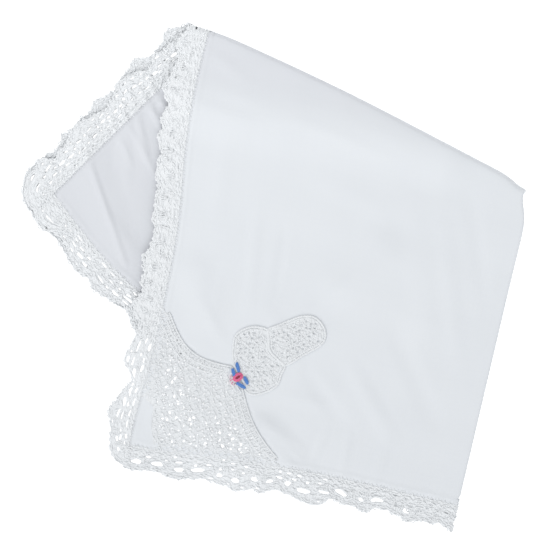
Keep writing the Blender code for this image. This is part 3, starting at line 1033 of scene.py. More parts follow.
@dataclass
class Cloth:
    """The hemmed square of lawn."""

    pile: Pile
    window: Window
    half_thickness: float = 0.14
    hem_width: float = 3.0
    hem_rise: float = 0.12
    hem_slope: float = 0.5
    grid: float = 2.0
    margin: float = 0.7
    bend_steps: int = 5
    window_reach: float = 75.0
    # lowest u and v, highest u and v, step: parts with fine creases
    finer: tuple = (
        (196.0, 190.0, 272.0, 272.0, 1.05),
        (20.0, 66.0, 64.0, 100.0, 1.2),
        (64.0, 4.0, 118.0, 62.0, 1.2),
    )

    def square(self, inwards: float) -> list[Spot]:
        """The cloth's outline, with points along its sides.

        Args:
            inwards: how far it is moved inwards.

        Returns:
            The points, anticlockwise.
        """
        low, high = inwards, CLOTH_SIZE - inwards
        steps = round((high - low) / self.grid)
        run = low + (high - low) * np.arange(steps) / steps
        back = low + high - run
        sides = ((run, low), (high, run), (back, high), (low, back))
        return [spot for u, v in sides for spot in as_spots(*np.broadcast_arrays(u, v))]

    def bends(self, radius: float) -> Numbers:
        """Places round a fold, counted from its middle."""
        return pi * radius / 2 * np.linspace(-1, 1, 2 * self.bend_steps + 1)

    def columns(self) -> Numbers:
        """Places across the cloth: those of the bend, and an even grid beside it."""
        even = self.grid * (np.arange(1, floor(CLOTH_SIZE / self.grid / 2) + 1))
        beside = np.concatenate([self.bends(self.pile.layer_pitch / 2), even, -even])
        return np.sort(self.pile.right_fold + beside)

    def rows(self) -> Numbers:
        """Places up the cloth, counted from the top fold."""
        bends = self.bends(self.pile.layer_pitch)
        even = bends[-1] + self.grid * np.arange(1, floor(CLOTH_SIZE / self.grid))
        return np.sort(np.concatenate([bends, even, -even]))

    @staticmethod
    def from_edge(u: Numbers, v: Numbers) -> Numbers:
        """How far places are from the cloth's edge."""
        return np.minimum(np.minimum(u, v), CLOTH_SIZE - np.maximum(u, v))

    def thickness(self, u: Numbers, v: Numbers) -> Numbers:
        """Half the cloth's thickness, with its hem."""
        share = (self.hem_width - self.from_edge(u, v)) / self.hem_slope
        return self.half_thickness + self.hem_rise * smooth(share)

    def build(self) -> bpy.types.Object:
        """Make the cloth as one closed thin sheet.

        Returns:
            The object, with its flat coordinates in a UV layer.
        """
        window, hems = self.window.loop(), (self.hem_width - self.hem_slope, self.hem_width)
        u, share = crossings(self.columns(), self.rows())
        v = share + self.pile.crease_height(u)
        edge = self.from_edge(u, v)
        hem_clear = np.minimum(np.abs(edge - hems[1]), np.abs(edge - hems[1] + self.hem_slope))
        kept = (edge > self.margin) & (hem_clear > self.margin / 2)
        u, v = u[kept], v[kept]
        for low_u, low_v, high_u, high_v, step in self.finer:
            coarse = (u > low_u - step) & (u < high_u) & (v > low_v - step) & (v < high_v)
            fine_u, fine_v = crossings(
                np.arange(low_u, high_u, step), np.arange(low_v, high_v, step),
            )
            u, v = np.concatenate([u[~coarse], fine_u]), np.concatenate([v[~coarse], fine_v])
        near = (u < self.window_reach) & (v < self.window_reach)
        clear = ~near
        away = away_from(u[near], v[near], window)
        clear[near] = ~inside(u[near], v[near], window) & (away > self.margin)
        loops = [self.square(inwards) for inwards in hems]
        spots = as_spots(u[clear], v[clear])
        places, triangles = triangulate(self.square(0.0), [window], loops, spots)
        half, middle = self.thickness(*places.T), np.zeros(len(places))
        return closed_sheet("lawn", self.pile, places, triangles, middle, half, places * MM)


@dataclass
class Border:
    """The run of the edging round the cloth, as a way t along it and a depth d outwards."""

    valley: float = 9.9
    scallop: float = 1.5
    scallop_round: float = 0.8
    scallop_share: float = 0.62
    corner_length: float = 9.0
    wander: float = 0.42
    loose_from: float = 6.0
    # height, number round the cloth and start of each wave: of the scallops, of the depth, and of
    # the wandering outwards and along
    scallop_waves: tuple = ((0.28, 28, 0.9), (0.25, 43, 2.1))
    depth_waves: tuple = ((0.4, 14, 0.4), (0.85, 57, 2.2), (0.34, 107, 0.4), (0.16, 215, 1.7))
    out_waves: tuple = ((1.0, 50, 0.6), (0.6, 125, 2.0))
    along_waves: tuple = ((1.0, 75, 0.3), (0.7, 170, 1.1))
    # side, place along it, reach, height: where the edging bulges or draws in
    bulges: tuple = (
        (0, 22.0, 9.0, 1.1), (0, 45.0, 10.0, 3.0), (0, 70.0, 8.0, 3.4), (0, 104.0, 6.0, -0.6),
        (0, 132.0, 5.0, 0.2), (1, 180.0, 8.0, 3.2), (1, 219.0, 7.0, 2.6), (1, 233.0, 3.5, -1.2),
        (1, 247.0, 10.0, 3.0), (1, 281.0, 15.0, 4.0), (2, 15.0, 5.0, -1.0), (2, 37.0, 12.0, 3.4),
        (2, 52.0, 4.0, -1.6), (2, 64.0, 7.0, 3.6), (2, 281.0, 15.0, 2.4), (3, 30.0, 14.0, 2.4),
        (3, 43.5, 3.5, -1.9), (3, 60.0, 11.0, 1.6), (3, 86.0, 6.0, 2.6), (3, 232.0, 7.0, -1.8),
        (3, 252.0, 7.0, -2.9), (3, 268.0, 6.0, 1.3), (3, 281.0, 6.0, -1.2),
    )

    @property
    def side_length(self) -> float:
        """Length of one side with its corner."""
        return CLOTH_SIZE + self.corner_length

    def ripple(self, t: Numbers, waves: Sequence) -> Numbers:
        """The sum of some waves along the edging."""
        turn = 2 * pi * t / (4 * self.side_length)
        return sum(height * np.sin(count * turn + begin) for height, count, begin in waves)

    def depth(self, t: Numbers) -> Numbers:
        """Depth of the edging.

        Args:
            t: way along the edging.

        Returns:
            The depth there, from the cloth's edge.
        """
        rest = np.mod(t, self.side_length)
        share = np.clip((rest - CLOTH_SIZE) / self.corner_length, 0.0, 1.0)
        repeats = np.abs(np.sin(pi * np.minimum(rest, CLOTH_SIZE) / REPEAT)) ** self.scallop_round
        scallops = np.where(rest < CLOTH_SIZE, repeats, np.sin(pi * share))
        uneven = self.scallop_share + self.ripple(t, self.scallop_waves)
        bulge = sum(
            height * np.exp(-((t - side * self.side_length - place) / reach) ** 2)
            for side, place, reach, height in self.bulges
        )
        waves = self.ripple(t, self.depth_waves)
        return self.valley + bulge + self.scallop * uneven * scallops + waves

    def flat(self, t: Numbers, d: Numbers) -> tuple[Numbers, Numbers]:
        """Place on the flat cloth of points of the edging, with its unevenness.

        Args:
            t: way along the edging.
            d: depth outwards from the cloth's edge.

        Returns:
            The places across and up.
        """
        away = self.wander * np.clip(d / self.loose_from, 0.0, 1.0)
        out, along = away * self.ripple(t, self.out_waves), away * self.ripple(t, self.along_waves)
        t, d = t + along, d + out
        side = np.floor(np.mod(t / self.side_length, 4)).astype(int)
        rest = np.mod(t, self.side_length)
        share = np.clip((rest - CLOTH_SIZE) / self.corner_length, 0.0, 1.0)
        length, angle = np.minimum(rest, CLOTH_SIZE), (side - 1 + share) * pi / 2
        start, start_up = (np.array(row)[side] * CLOTH_SIZE for row in ((0, 1, 1, 0), (0, 0, 1, 1)))
        run, run_up = (np.array(row)[side] for row in ((1, 0, -1, 0), (0, 1, 0, -1)))
        u = start + run * length + d * np.cos(angle)
        return u, start_up + run_up * length + d * np.sin(angle)


@dataclass(frozen=True)
class Gap:
    """One gap of the edging: its middle, half its length and half its depth."""

    t: float
    d: float
    long: float
    deep: float
    through: bool = True

    def outline(self) -> list[Spot]:
        """The gap's uneven outline, of 12 points."""
        angle = np.linspace(0.0, 2 * pi, 12, endpoint=False)
        reach = 0.98 + 0.16 * np.sin(2 * angle + 3 * self.t) + 0.10 * np.sin(3 * angle + 7 * self.t)
        along, out = self.long * reach * np.cos(angle), self.deep * reach * np.sin(angle)
        return as_spots(self.t + along, self.d + out)

    def holds(self, t: Numbers, d: Numbers, grow: float) -> Numbers:
        """Whether places lie in the gap, moved out by a distance."""
        along, out = (t - self.t) / (self.long + grow), (d - self.d) / (self.deep + grow)
        return along ** 2 + out ** 2 < 1


@dataclass
class Side:
    """One side of the edging while it is made, with the corner at its end."""

    number: int
    start: float
    end: float
    work: Threadwork
    chance: np.random.Generator
    gaps: list[Gap] = field(default_factory=list)


@dataclass
class Edging:
    """The crocheted edging: close stitches with rows of thread that bend round long gaps."""

    pile: Pile
    border: Border
    step: float = 0.34
    first_row: float = 0.45
    row_pitch: float = 0.86
    rows: int = 12
    zigzag: float = 0.32
    zigzag_length: float = 2.5
    thread: float = 0.41
    bead_length: float = 2.3
    row_height: float = 0.12
    row_relief: float = 0.1
    # height and length of the waves of a row: two that shift its zigzag, its swing, and its height
    row_waves: tuple = ((1.5, 17.0), (0.9, 7.3), (0.5, 5.9), (0.16, 4.1))
    # depth, mean way between gaps, chance of one, shortest and longest half length, least and most
    # half depth
    gap_rows: tuple = (
        (2.3, 4.2, 0.66, 0.5, 1.9, 0.24, 0.50),
        (4.5, 4.4, 0.60, 0.4, 1.6, 0.20, 0.46),
        (6.6, 4.7, 0.70, 0.5, 2.3, 0.26, 0.70),
        (8.9, 4.4, 0.55, 0.4, 1.5, 0.22, 0.48),
    )
    wide_rows: tuple = (
        (2.3, 5.0, 0.60, 0.4, 1.5, 0.20, 0.42),
        (4.4, 5.4, 0.50, 0.4, 1.5, 0.20, 0.48),
        (7.0, 7.2, 0.90, 0.8, 2.8, 0.50, 1.15),
        (9.4, 7.0, 0.35, 0.4, 1.1, 0.20, 0.36),
    )
    # what the dense side multiplies the way between gaps, their chance and their length by
    denser: tuple[float, float, float] = (0.8, 1.3, 0.9)
    shift: float = 0.34
    wide_shift: float = 0.55
    rim: float = 0.4
    clearance: float = 0.2
    fold_at: float = 181.0
    pairs_from: float = 186.0
    pair_growth: float = 1.3
    pair_search: int = 6
    # Runs of the edging that lie on other layers: side, from, to, deepest
    covered: tuple = (
        (0, 84.0, 118.0, 6.0), (0, 118.0, 276.0, 20.0), (3, 96.0, 235.0, 20.0),
        (1, 160.0, 290.0, 3.6), (2, 0.0, 14.0, 3.6), (2, 120.0, 140.0, 20.0),
    )
    wide_side: int = 0
    dense_side: int = 1
    # by how much the ground is raised towards the threads of each side, which softens the stitches
    raised: tuple[float, float, float, float] = (0.10, 0.08, 0.08, 0.20)
    overlap: float = 0.9
    ground_grid: float = 1.15
    ground_half: float = 0.13
    ground_inset: float = 0.2
    dimple: float = 0.6
    whip_pitch: float = 1.6
    whip_thread: float = 0.2
    # way along, depth and height of the points of a stitch over the hem
    whip: tuple = ((0.0, -1.0, 0.14), (0.15, -0.6, 0.32), (0.3, 0.1, 0.32), (0.35, 0.6, 0.1))
    # way inwards from the outer edge, radius and height of the chains
    chains: tuple = ((0.95, 0.36, 0.16), (0.25, 0.42, 0.0))
    fan_thread: float = 0.3
    fan_leans: tuple[float, float, float] = (-0.9, 0.0, 0.9)
    picot: float = 0.55
    picot_pitch: float = 2.1
    picot_chance: float = 0.75
    picot_thread: float = 0.34
    seed: int = 7

    def depth_of(self, t: Numbers, base: Numbers) -> Numbers:
        """Depth of a row: the outer rows follow the scallops, the inner ones run straight."""
        return base + (self.border.depth(t) - self.border.valley - 0.4) * smooth((base - 3.0) / 7.0)

    def gaps(self, side: Side) -> list[Gap]:
        """Choose the gaps of one side.

        Args:
            side: the side.

        Returns:
            The gaps, in rows along the edging.
        """
        found, chance, wide = [], side.chance, side.number == self.wide_side
        rows = self.wide_rows if wide else self.gap_rows
        for depth, pitch, likely, short, long, least, most in rows:
            if side.number == self.dense_side:
                pitch, likely, long = np.array([pitch, likely, long]) * self.denser
            t = side.start + pitch * (0.4 + 0.4 * chance.random())
            while t < side.end - long:
                size = chance.random()
                if chance.random() < likely:
                    shift = (self.wide_shift if wide else self.shift) * chance.standard_normal()
                    d = float(self.depth_of(np.array([t]), np.array([depth]))[0]) + shift
                    deep = least + (most - least) * chance.random()
                    found.append(Gap(t, d, short + (long - short) * size, deep))
                t += pitch * (0.62 + 0.5 * size + 0.25 * chance.random())
        return found

    def closed_over_layers(self, gap: Gap, side: int) -> Gap:
        """The gap, no longer through where the edging lies on other layers.

        Args:
            gap: the gap.
            side: number of its side.

        Returns:
            The gap again.
        """
        t = gap.t - side * self.border.side_length
        through = not any(
            side == number and start < t < end and gap.d < deepest
            for number, start, end, deepest in self.covered
        )
        return Gap(gap.t, gap.d, gap.long, gap.deep, through)

    def seen(self, t: Numbers, d: Numbers) -> Numbers:
        """Places of the edging as seen from above, in metres."""
        return self.pile.place(*self.border.flat(t, d), 0 * t)[:, :2]

    def beneath(self, gaps: Sequence[Gap], mirrored: float) -> list[Gap]:
        """Gaps that lie under those of the layer above, so that light comes through.

        Args:
            gaps: the gaps of the layer above.
            mirrored: sum of the ways along the edging of a spot and of its mirrored spot.

        Returns:
            The gaps beneath, a little larger.
        """
        def area(first: Numbers, second: Numbers) -> Numbers:
            """Area between rows of two numbers."""
            return first[:, 0] * second[:, 1] - first[:, 1] * second[:, 0]

        t, d = np.array([(gap.t, gap.d) for gap in gaps]).T
        wanted, t, small = self.seen(t, d), mirrored - t, 0.05
        for _ in range(self.pair_search):
            here = self.seen(t, d)
            by_t = (self.seen(t + small, d) - here) / small
            by_d = (self.seen(t, d + small) - here) / small
            miss, whole = wanted - here, area(by_t, by_d)
            t = t + np.clip(area(miss, by_d) / whole, -1.5, 1.5)
            d = np.clip(d + area(by_t, miss) / whole, 1.0, self.border.depth(t) - 1.1)
        grow = self.pair_growth
        return [
            Gap(x, y, gap.long * grow, gap.deep * grow) for (x, y), gap in zip(as_spots(t, d), gaps)
        ]

    def round_gaps(self, t: Numbers, d: Numbers, gaps: Sequence[Gap]) -> Numbers:
        """Push a row aside where it would cross a gap.

        Args:
            t: way along the edging of each of its points.
            d: depth outwards.
            gaps: the gaps.

        Returns:
            The depths again.
        """
        moved = d.copy()
        for gap in gaps:
            long = gap.long + self.rim
            near = np.abs(t - gap.t) < long
            away = moved[near] - gap.d
            wall = (gap.deep + self.rim) * np.sqrt(1 - ((t[near] - gap.t) / long) ** 2)
            side = 1.0 if np.mean(away) >= 0 else -1.0
            moved[near] = np.where(side * away < wall, gap.d + side * wall, moved[near])
        return moved

    def lay_row(
        self, work: Threadwork, t: Numbers, d: Numbers, w: Numbers, radius: float,
        thickness: Thickness = Thickness.BEADED,
    ) -> None:
        """Lay one row along the edging.

        Args:
            work: what it is laid in.
            t: way along the edging of each of its points.
            d: depth outwards.
            w: height over the cloth's middle.
            radius: its mean radius.
            thickness: how its thickness runs.
        """
        u, v = self.border.flat(t, d)
        work.lay(u, v, w, radius, thickness, float(t[0]))

    def body_rows(self, side: Side) -> None:
        """Lay the rows that make the edging's body, in runs that stop at the gaps.

        Args:
            side: the side.
        """
        steps = round((side.end - side.start) / self.step)
        t = np.linspace(side.start - self.overlap, side.end + self.overlap, steps)
        for row in range(self.rows):
            base = self.first_row + self.row_pitch * row
            first, second, swing, lift = (
                height * np.sin(2 * pi * t / length + start)
                for (height, length), start in zip(self.row_waves, side.chance.random(4) * 2 * pi)
            )
            wave = np.sin(2 * pi * t / self.zigzag_length + (first + second) + pi * row)
            zigzag = self.zigzag * (1 + swing) * wave
            d = self.round_gaps(t, self.depth_of(t, base + 0 * t) + zigzag, side.gaps)
            w = self.row_height + lift + self.row_relief * wave + self.row_relief * (row % 3 - 1)
            radius = self.thread * (0.9 + 0.2 * side.chance.random())
            blocked = np.zeros(len(t), bool)
            for gap in side.gaps:
                if gap.through:
                    blocked |= gap.holds(t, d, self.clearance)
            for run in runs_of(~blocked, 5):
                self.lay_row(side.work, t[run], d[run], w[run], radius)

    def whipping(self, side: Side) -> None:
        """Lay the short stitches over the hem.

        Args:
            side: the side.
        """
        along, out, height = np.array(self.whip).T
        for t in np.arange(side.start + 0.6, side.start + CLOTH_SIZE, self.whip_pitch):
            way = t + along
            way[1] += 0.3 * side.chance.standard_normal()
            side.work.lay(*self.border.flat(way, out), height, self.whip_thread)

    def outer_chains(self, side: Side) -> None:
        """Lay the chains along the outer edge.

        Args:
            side: the side.
        """
        t = np.linspace(side.start, side.end, round((side.end - side.start) / self.step))
        for inwards, radius, height in self.chains:
            d = self.border.depth(t) - inwards + 0.2 * np.sin(2 * pi * t / 2.9 + 3 * radius)
            self.lay_row(side.work, t, d, height + 0 * t, radius, Thickness.KNOTTED)

    def fans(self, side: Side) -> None:
        """Lay the fans of three long stitches, clear of the gaps.

        Args:
            side: the side.
        """
        chance, share = side.chance, np.linspace(0.0, 1.0, 9)
        for repeat in range(2 * REPEATS_A_SIDE + 2):
            middle = side.start + (repeat + 0.5 * chance.random()) * REPEAT / 2
            depth = self.border.depth(np.array([middle]))[0]
            foot, reach = 3.0 + 3.0 * chance.random(), 2.0 + 2.5 * chance.random()
            for lean in self.fan_leans:
                t = middle + lean * (0.3 + share) + 0.12 * chance.standard_normal()
                d = np.minimum(foot + reach * share, depth - 0.6)
                gaps = (gap for gap in side.gaps if gap.through)
                if not any(gap.holds(t, d, self.clearance).any() for gap in gaps):
                    self.lay_row(side.work, t, d, 0.3 + 0.2 * np.sin(pi * share), self.fan_thread)

    def picots(self, side: Side) -> None:
        """Lay the small loops on the outer edge.

        Args:
            side: the side.
        """
        chance, hook = side.chance, np.linspace(-0.3 * pi, 1.3 * pi, 8)
        for place in np.arange(side.start + 1.2, side.end, self.picot_pitch):
            if chance.random() < self.picot_chance:
                size = self.picot * (0.5 + 0.8 * chance.random() ** 2)
                middle = place + 0.5 * chance.standard_normal()
                base = self.border.depth(np.array([middle]))[0] - 0.15
                t, d = middle + size * np.cos(hook), base + size * (0.35 + np.sin(hook))
                self.lay_row(side.work, t, d, 0.05 + 0 * hook, self.picot_thread)

    def ground(self, side: Side, name: str) -> bpy.types.Object:
        """Make the close stitches of one side as a thin sheet with the gaps in it.

        Args:
            side: the side.
            name: name of the piece.

        Returns:
            The object.
        """
        start, end, grid = side.start, side.end, self.ground_grid
        t = np.linspace(start, end, round((end - start) / grid) + 1)
        outer = self.border.depth(t) - self.ground_inset
        outline = as_spots(t, 0 * t - 0.35) + as_spots(t[::-1], outer[::-1])
        dimples = [gap for gap in side.gaps if not gap.through]
        gaps = [gap for gap in side.gaps if gap.through]
        spots = []
        for number, out in enumerate(np.arange(0.5, 14.0, grid)):
            row = t[1:-1] + (0.5 * grid if number % 2 else 0.0)
            kept = (out < self.border.depth(row) - 0.7) & (row < end - 0.3)
            for gap in gaps:
                kept &= ~gap.holds(row, out + 0 * row, 0.3)
            spots += as_spots(row[kept], out + 0 * row[kept])
        for gap in dimples:
            spots += Oval(gap.t, gap.d, gap.long, gap.deep + 0.15).outline(10)
            spots += [(gap.t + part * gap.long, gap.d) for part in (-0.5, 0.0, 0.5)]
        spots = [spot for spot in spots if start + 0.2 < spot[0] < end - 0.2]
        places, triangles = triangulate(outline, [gap.outline() for gap in gaps], [], spots)
        along, out = places.T
        middle = 0.12 * np.sin(2 * pi * out / 2.35 + 0.9 * np.sin(along / 3.1))
        middle = middle + 0.08 * np.sin(along / 0.9 + out) + self.raised[side.number]
        for gap in dimples:
            middle[gap.holds(along, out, -0.1)] -= self.dimple
        middle *= smooth(np.minimum(out, self.border.depth(along) - out))
        flat = np.column_stack(self.border.flat(along, out))
        half = np.full(len(flat), self.ground_half)
        return closed_sheet(name, self.pile, flat, triangles, middle, half, places * MM)

    def build(self) -> tuple[list[bpy.types.Object], list[bpy.types.Object]]:
        """Make the pieces.

        Returns:
            The threads and the grounds, one of each for each side of the cloth.
        """
        threads, grounds, length = [], [], self.border.side_length
        for number, name in enumerate(("lower", "right", "upper", "left")):
            work = Threadwork(f"edging_{name}", self.pile, sides=4, bead_length=self.bead_length)
            start, chance = number * length, np.random.default_rng(self.seed + number)
            side = Side(number, start, start + length, work, chance)
            gaps = self.gaps(side)
            if name == "right":
                beside_triangle = [gap for gap in gaps if gap.t > start + self.pairs_from]
                paired = self.beneath(beside_triangle, 4 * length + CLOTH_SIZE)
            if name == "upper":
                first_half = [gap for gap in gaps if gap.t < start + CLOTH_SIZE / 2]
                gaps = first_half + self.beneath(first_half, 2 * start + CLOTH_SIZE)
                gaps += [gap for gap in paired if gap.t < side.end]
            if name == "left":
                gaps = [gap for gap in gaps if gap.t > start + CLOTH_SIZE - self.fold_at]
                gaps += [gap for gap in paired if gap.t >= start]
            side.gaps = [self.closed_over_layers(gap, number) for gap in gaps]
            for lay in (self.body_rows, self.whipping, self.outer_chains, self.fans, self.picots):
                lay(side)
            threads.append(work.build())
            grounds.append(self.ground(side, f"edging_{name}_ground"))
        return threads, grounds


@dataclass
class Filling:
    """Rows of zigzag stitches that fill an outline."""

    pitch: float
    length: float
    radius: float
    turn: float = 0.0
    uneven: float = 0.12
    step: float = 0.4
    height: float = 0.0
    clear: float = 0.3

    def lay(self, work: Threadwork, outline: Loop, holes: Sequence[Loop] = ()) -> None:
        """Lay the rows inside an outline.

        Args:
            work: what they are laid in.
            outline: the closed outline.
            holes: closed outlines that are left free.
        """
        corners = np.array(outline)
        middle = corners.mean(axis=0)
        reach = float(np.linalg.norm(corners - middle, axis=1).max()) + self.pitch
        along = np.array([cos(self.turn), sin(self.turn)])
        beside = np.array([-sin(self.turn), cos(self.turn)])
        x, rows = np.arange(-reach, reach, self.step), ceil(reach / self.pitch)
        for number in range(-rows, rows + 1):
            wave = np.sin(2 * pi * x / self.length + pi * (number % 2))
            wave = np.sign(wave) * np.abs(wave) ** 0.7
            y = number * self.pitch + self.pitch / 2 * wave
            y = y + self.uneven * np.sin(2 * pi * (x + 3.7 * number) / 5.3)
            y = y + 2 * self.uneven * np.sin(2 * pi * x / 13.1 + number)
            way = x + 1.5 * self.uneven * np.sin(2 * pi * (y + 2.1 * x) / 11.0)
            spots = middle + way[:, None] * along + y[:, None] * beside
            kept = inside(*spots.T, outline) & (away_from(*spots.T, outline) > self.clear)
            for hole in holes:
                kept &= ~inside(*spots.T, hole)
            for run in runs_of(kept, 4):
                w = self.height + 0.16 * np.sin(2 * pi * x[run] / self.length + number)
                work.lay(*spots[run].T, w, self.radius, Thickness.BEADED, number * 0.3)


def lay_cord(
    work: Threadwork, line: Loop, radius: float, height: float, closed: bool = False,
) -> None:
    """Lay a cord along a line of the flat cloth."""
    work.lay(*spaced(line, 0.4, closed).T, height, radius, Thickness.BEADED)


def curve_through(points: Loop, steps: int = 6, closed: bool = True) -> list[Spot]:
    """A smooth line through some points.

    Args:
        points: the points.
        steps: how many new points for each.
        closed: whether the line comes back to its first point.

    Returns:
        The line's points.
    """
    known = np.array(points, float)
    count = len(known)
    if closed:
        before, after = known[-1:], known[:2]
    else:
        before, after = 2 * known[:1] - known[1:2], 2 * known[-1:] - known[-2:-1]
    padded = np.concatenate([before, known, after])
    line = []
    for number in range(count if closed else count - 1):
        p0, p1, p2, p3 = padded[number:number + 4]
        for s in np.arange(steps) / steps:
            turn = s * (3 * (p1 - p2) + p3 - p0)
            line.append(p1 + 0.5 * s * (p2 - p0 + s * (2 * p0 - 5 * p1 + 4 * p2 - p3 + turn)))
    if not closed:
        line.append(known[-1])
    return as_spots(*np.array(line).T)


def curve_round(loop: Loop) -> list[Spot]:
    """A closed loop again, with points about 1 mm apart."""
    return as_spots(*spaced(loop, 1.0, True)[:-1].T)


def ground_sheet(
    name: str, pile: Pile, outline: Loop, holes: Sequence[Loop], grid: float, height: float,
) -> bpy.types.Object:
    """Make a thin sheet of close stitches inside an outline.

    Args:
        name: name of the piece.
        pile: the folds.
        outline: its closed outline.
        holes: its holes.
        grid: the way between its points.
        height: height of its middle over the cloth's.

    Returns:
        The object.
    """
    low, high = np.min(outline, axis=0), np.max(outline, axis=0)
    u, v = crossings(np.arange(low[0], high[0], grid), np.arange(low[1], high[1], grid))
    v = v + np.where(np.round(u / grid).astype(int) % 2 > 0, grid / 2, 0.0)
    kept = inside(u, v, outline) & (away_from(u, v, outline) > 0.4 * grid)
    u, v = u[kept], v[kept]
    kept = np.ones(len(u), bool)
    for hole in holes:
        near = (np.abs(u - hole[0][0]) < 3) & (np.abs(v - hole[0][1]) < 3)
        kept[near] &= ~inside(u[near], v[near], hole) & (away_from(u[near], v[near], hole) > 0.25)
    places, triangles = triangulate(outline, holes, [], as_spots(u[kept], v[kept]))
    across, up = places.T
    middle = height + 0.1 * np.sin(across / 0.55 + 0.6 * np.sin(up)) * np.sin(up / 0.5)
    half = np.full(len(places), 0.12)
    return closed_sheet(name, pile, places, triangles, middle, half, places * MM)


@dataclass
class CornerNet:
    """The net let into the corner, with its cords and the rows of long stitches beside them."""

    pile: Pile
    window: Window
    thread: float = 0.34
    cord: float = 0.42
    cord_height: float = 0.32
    long_stitch: float = 0.36
    hole_pitch: float = 2.5
    hole_rim: float = 1.5
    # least and most chance of a hole, and how much it gains with each mm away from the arcs
    hole_chance: tuple[float, float, float] = (0.42, 0.82, 0.085)
    knot: float = 0.36
    knot_chance: float = 0.72
    knot_rim: float = 3.0
    # u and v beyond which the next layer lies close beneath
    next_layer: tuple = ((19.0, 17.0), (40.0, 12.5), (12.5, 33.0))
    seed: int = 21
    # the side of the net by the edging, over the hem: u, v
    hem_side: tuple = (
        (60.5, -0.4), (10.0, -0.4), (9.0, 4.0), (7.4, 9.0), (6.0, 17.0), (-0.4, 20.0), (-0.4, 57.0),
    )

    def outline(self) -> list[Spot]:
        """The outline of all that the net covers."""
        inner = [spot for number in range(3) for spot in self.window.side(number)[:-1]]
        return inner + list(self.hem_side)

    def over_next_layer(self, middle: Numbers) -> bool:
        """Whether the next layer lies close under a spot of the net."""
        return any(middle[0] > u and middle[1] > v for u, v in self.next_layer)

    def holes(self) -> list[list[Spot]]:
        """Choose small uneven holes all over the net, fewer beside its arcs.

        Returns:
            The outlines of the holes.
        """
        chance, outline, found = np.random.default_rng(self.seed), self.outline(), []
        arcs = [spot for number in range(3) for spot in self.window.side(number)]
        least, most, gain = self.hole_chance
        for row, v in enumerate(np.arange(1.0, 60.0, self.hole_pitch * 0.8)):
            for u in np.arange(1.0 + (row % 2) * self.hole_pitch / 2, 62.0, self.hole_pitch):
                middle = np.array([u, v]) + 0.75 * chance.standard_normal(2)
                size, turn, squeeze = chance.random(), chance.random() * pi, chance.random()
                likely, spot = chance.random(), (middle[:1], middle[1:])
                if not inside(*spot, outline)[0] or away_from(*spot, outline)[0] < self.hole_rim:
                    continue
                wanted = min(most, least + gain * away_from(*spot, arcs)[0])
                if likely > wanted or self.over_next_layer(middle):
                    continue
                corners = 3 + int(3 * squeeze)
                angles = turn + 2 * pi * np.arange(corners) / corners
                reach = (0.24 + 0.56 * size ** 2) * (1 + 0.3 * np.cos(2 * angles + 5 * size))
                beside = (0.5 + 0.4 * squeeze) * reach * np.sin(angles)
                found.append(as_spots(*turned(middle, reach * np.cos(angles), beside, turn)))
        return found

    def knots(self) -> bpy.types.Object:
        """Make the knots of the net, whose near-white colour is a painted highlight standing in for
        bright flecks of light in the net.

        Returns:
            The object.
        """
        work = Threadwork("net_knots", self.pile)
        chance, outline = np.random.default_rng(self.seed + 1), self.outline()
        for u in np.arange(5.0, 60.0, self.hole_pitch):
            for v in np.arange(5.0, 60.0, self.hole_pitch):
                middle = np.array([u, v]) + 0.8 * chance.standard_normal(2)
                turn, size = chance.random() * pi, 0.28 + 0.3 * chance.random()
                likely, spot = chance.random(), (middle[:1], middle[1:])
                free = inside(*spot, outline)[0] and away_from(*spot, outline)[0] >= self.knot_rim
                if likely > self.knot_chance or not free:
                    continue
                shares = np.array([-1.0, -0.35, 0.35, 1.0])[:, None]
                line = middle + shares * size * np.array([cos(turn), sin(turn)])
                work.lay(*line.T, 0.6, self.knot)
        return work.build()

    def build(self) -> list[bpy.types.Object]:
        """Make the net.

        Returns:
            Its threads, its ground and its knots.
        """
        work = Threadwork("net_threads", self.pile, bead_length=1.3)
        holes, side = self.holes(), self.window.side
        filling = Filling(1.2, 2.3, self.thread, uneven=0.26, step=0.36, height=0.25)
        filling.lay(work, self.outline(), holes)
        for number in (0, 1, 2):
            lay_cord(work, side(number), self.cord, self.cord_height)
        for number in (0, 2):
            for inwards in (2.4, 4.8):
                lay_cord(work, side(number, inwards)[1:-1], 0.38, 0.4)
            near, far = (spaced(side(number, inwards), 1.7) for inwards in (0.0, 4.8))
            for foot, top in zip(near[1:-1], far[1:-1]):
                spots = foot + (top - foot) * np.linspace(0.0, 1.0, 10)[:, None]
                work.lay(*spots.T, 0.35, self.long_stitch, Thickness.BEADED)
        threads, outline = work.build(), curve_round(self.outline())
        ground = ground_sheet("net_ground", self.pile, outline, holes, 1.3, 0.12)
        return [threads, ground, self.knots()]


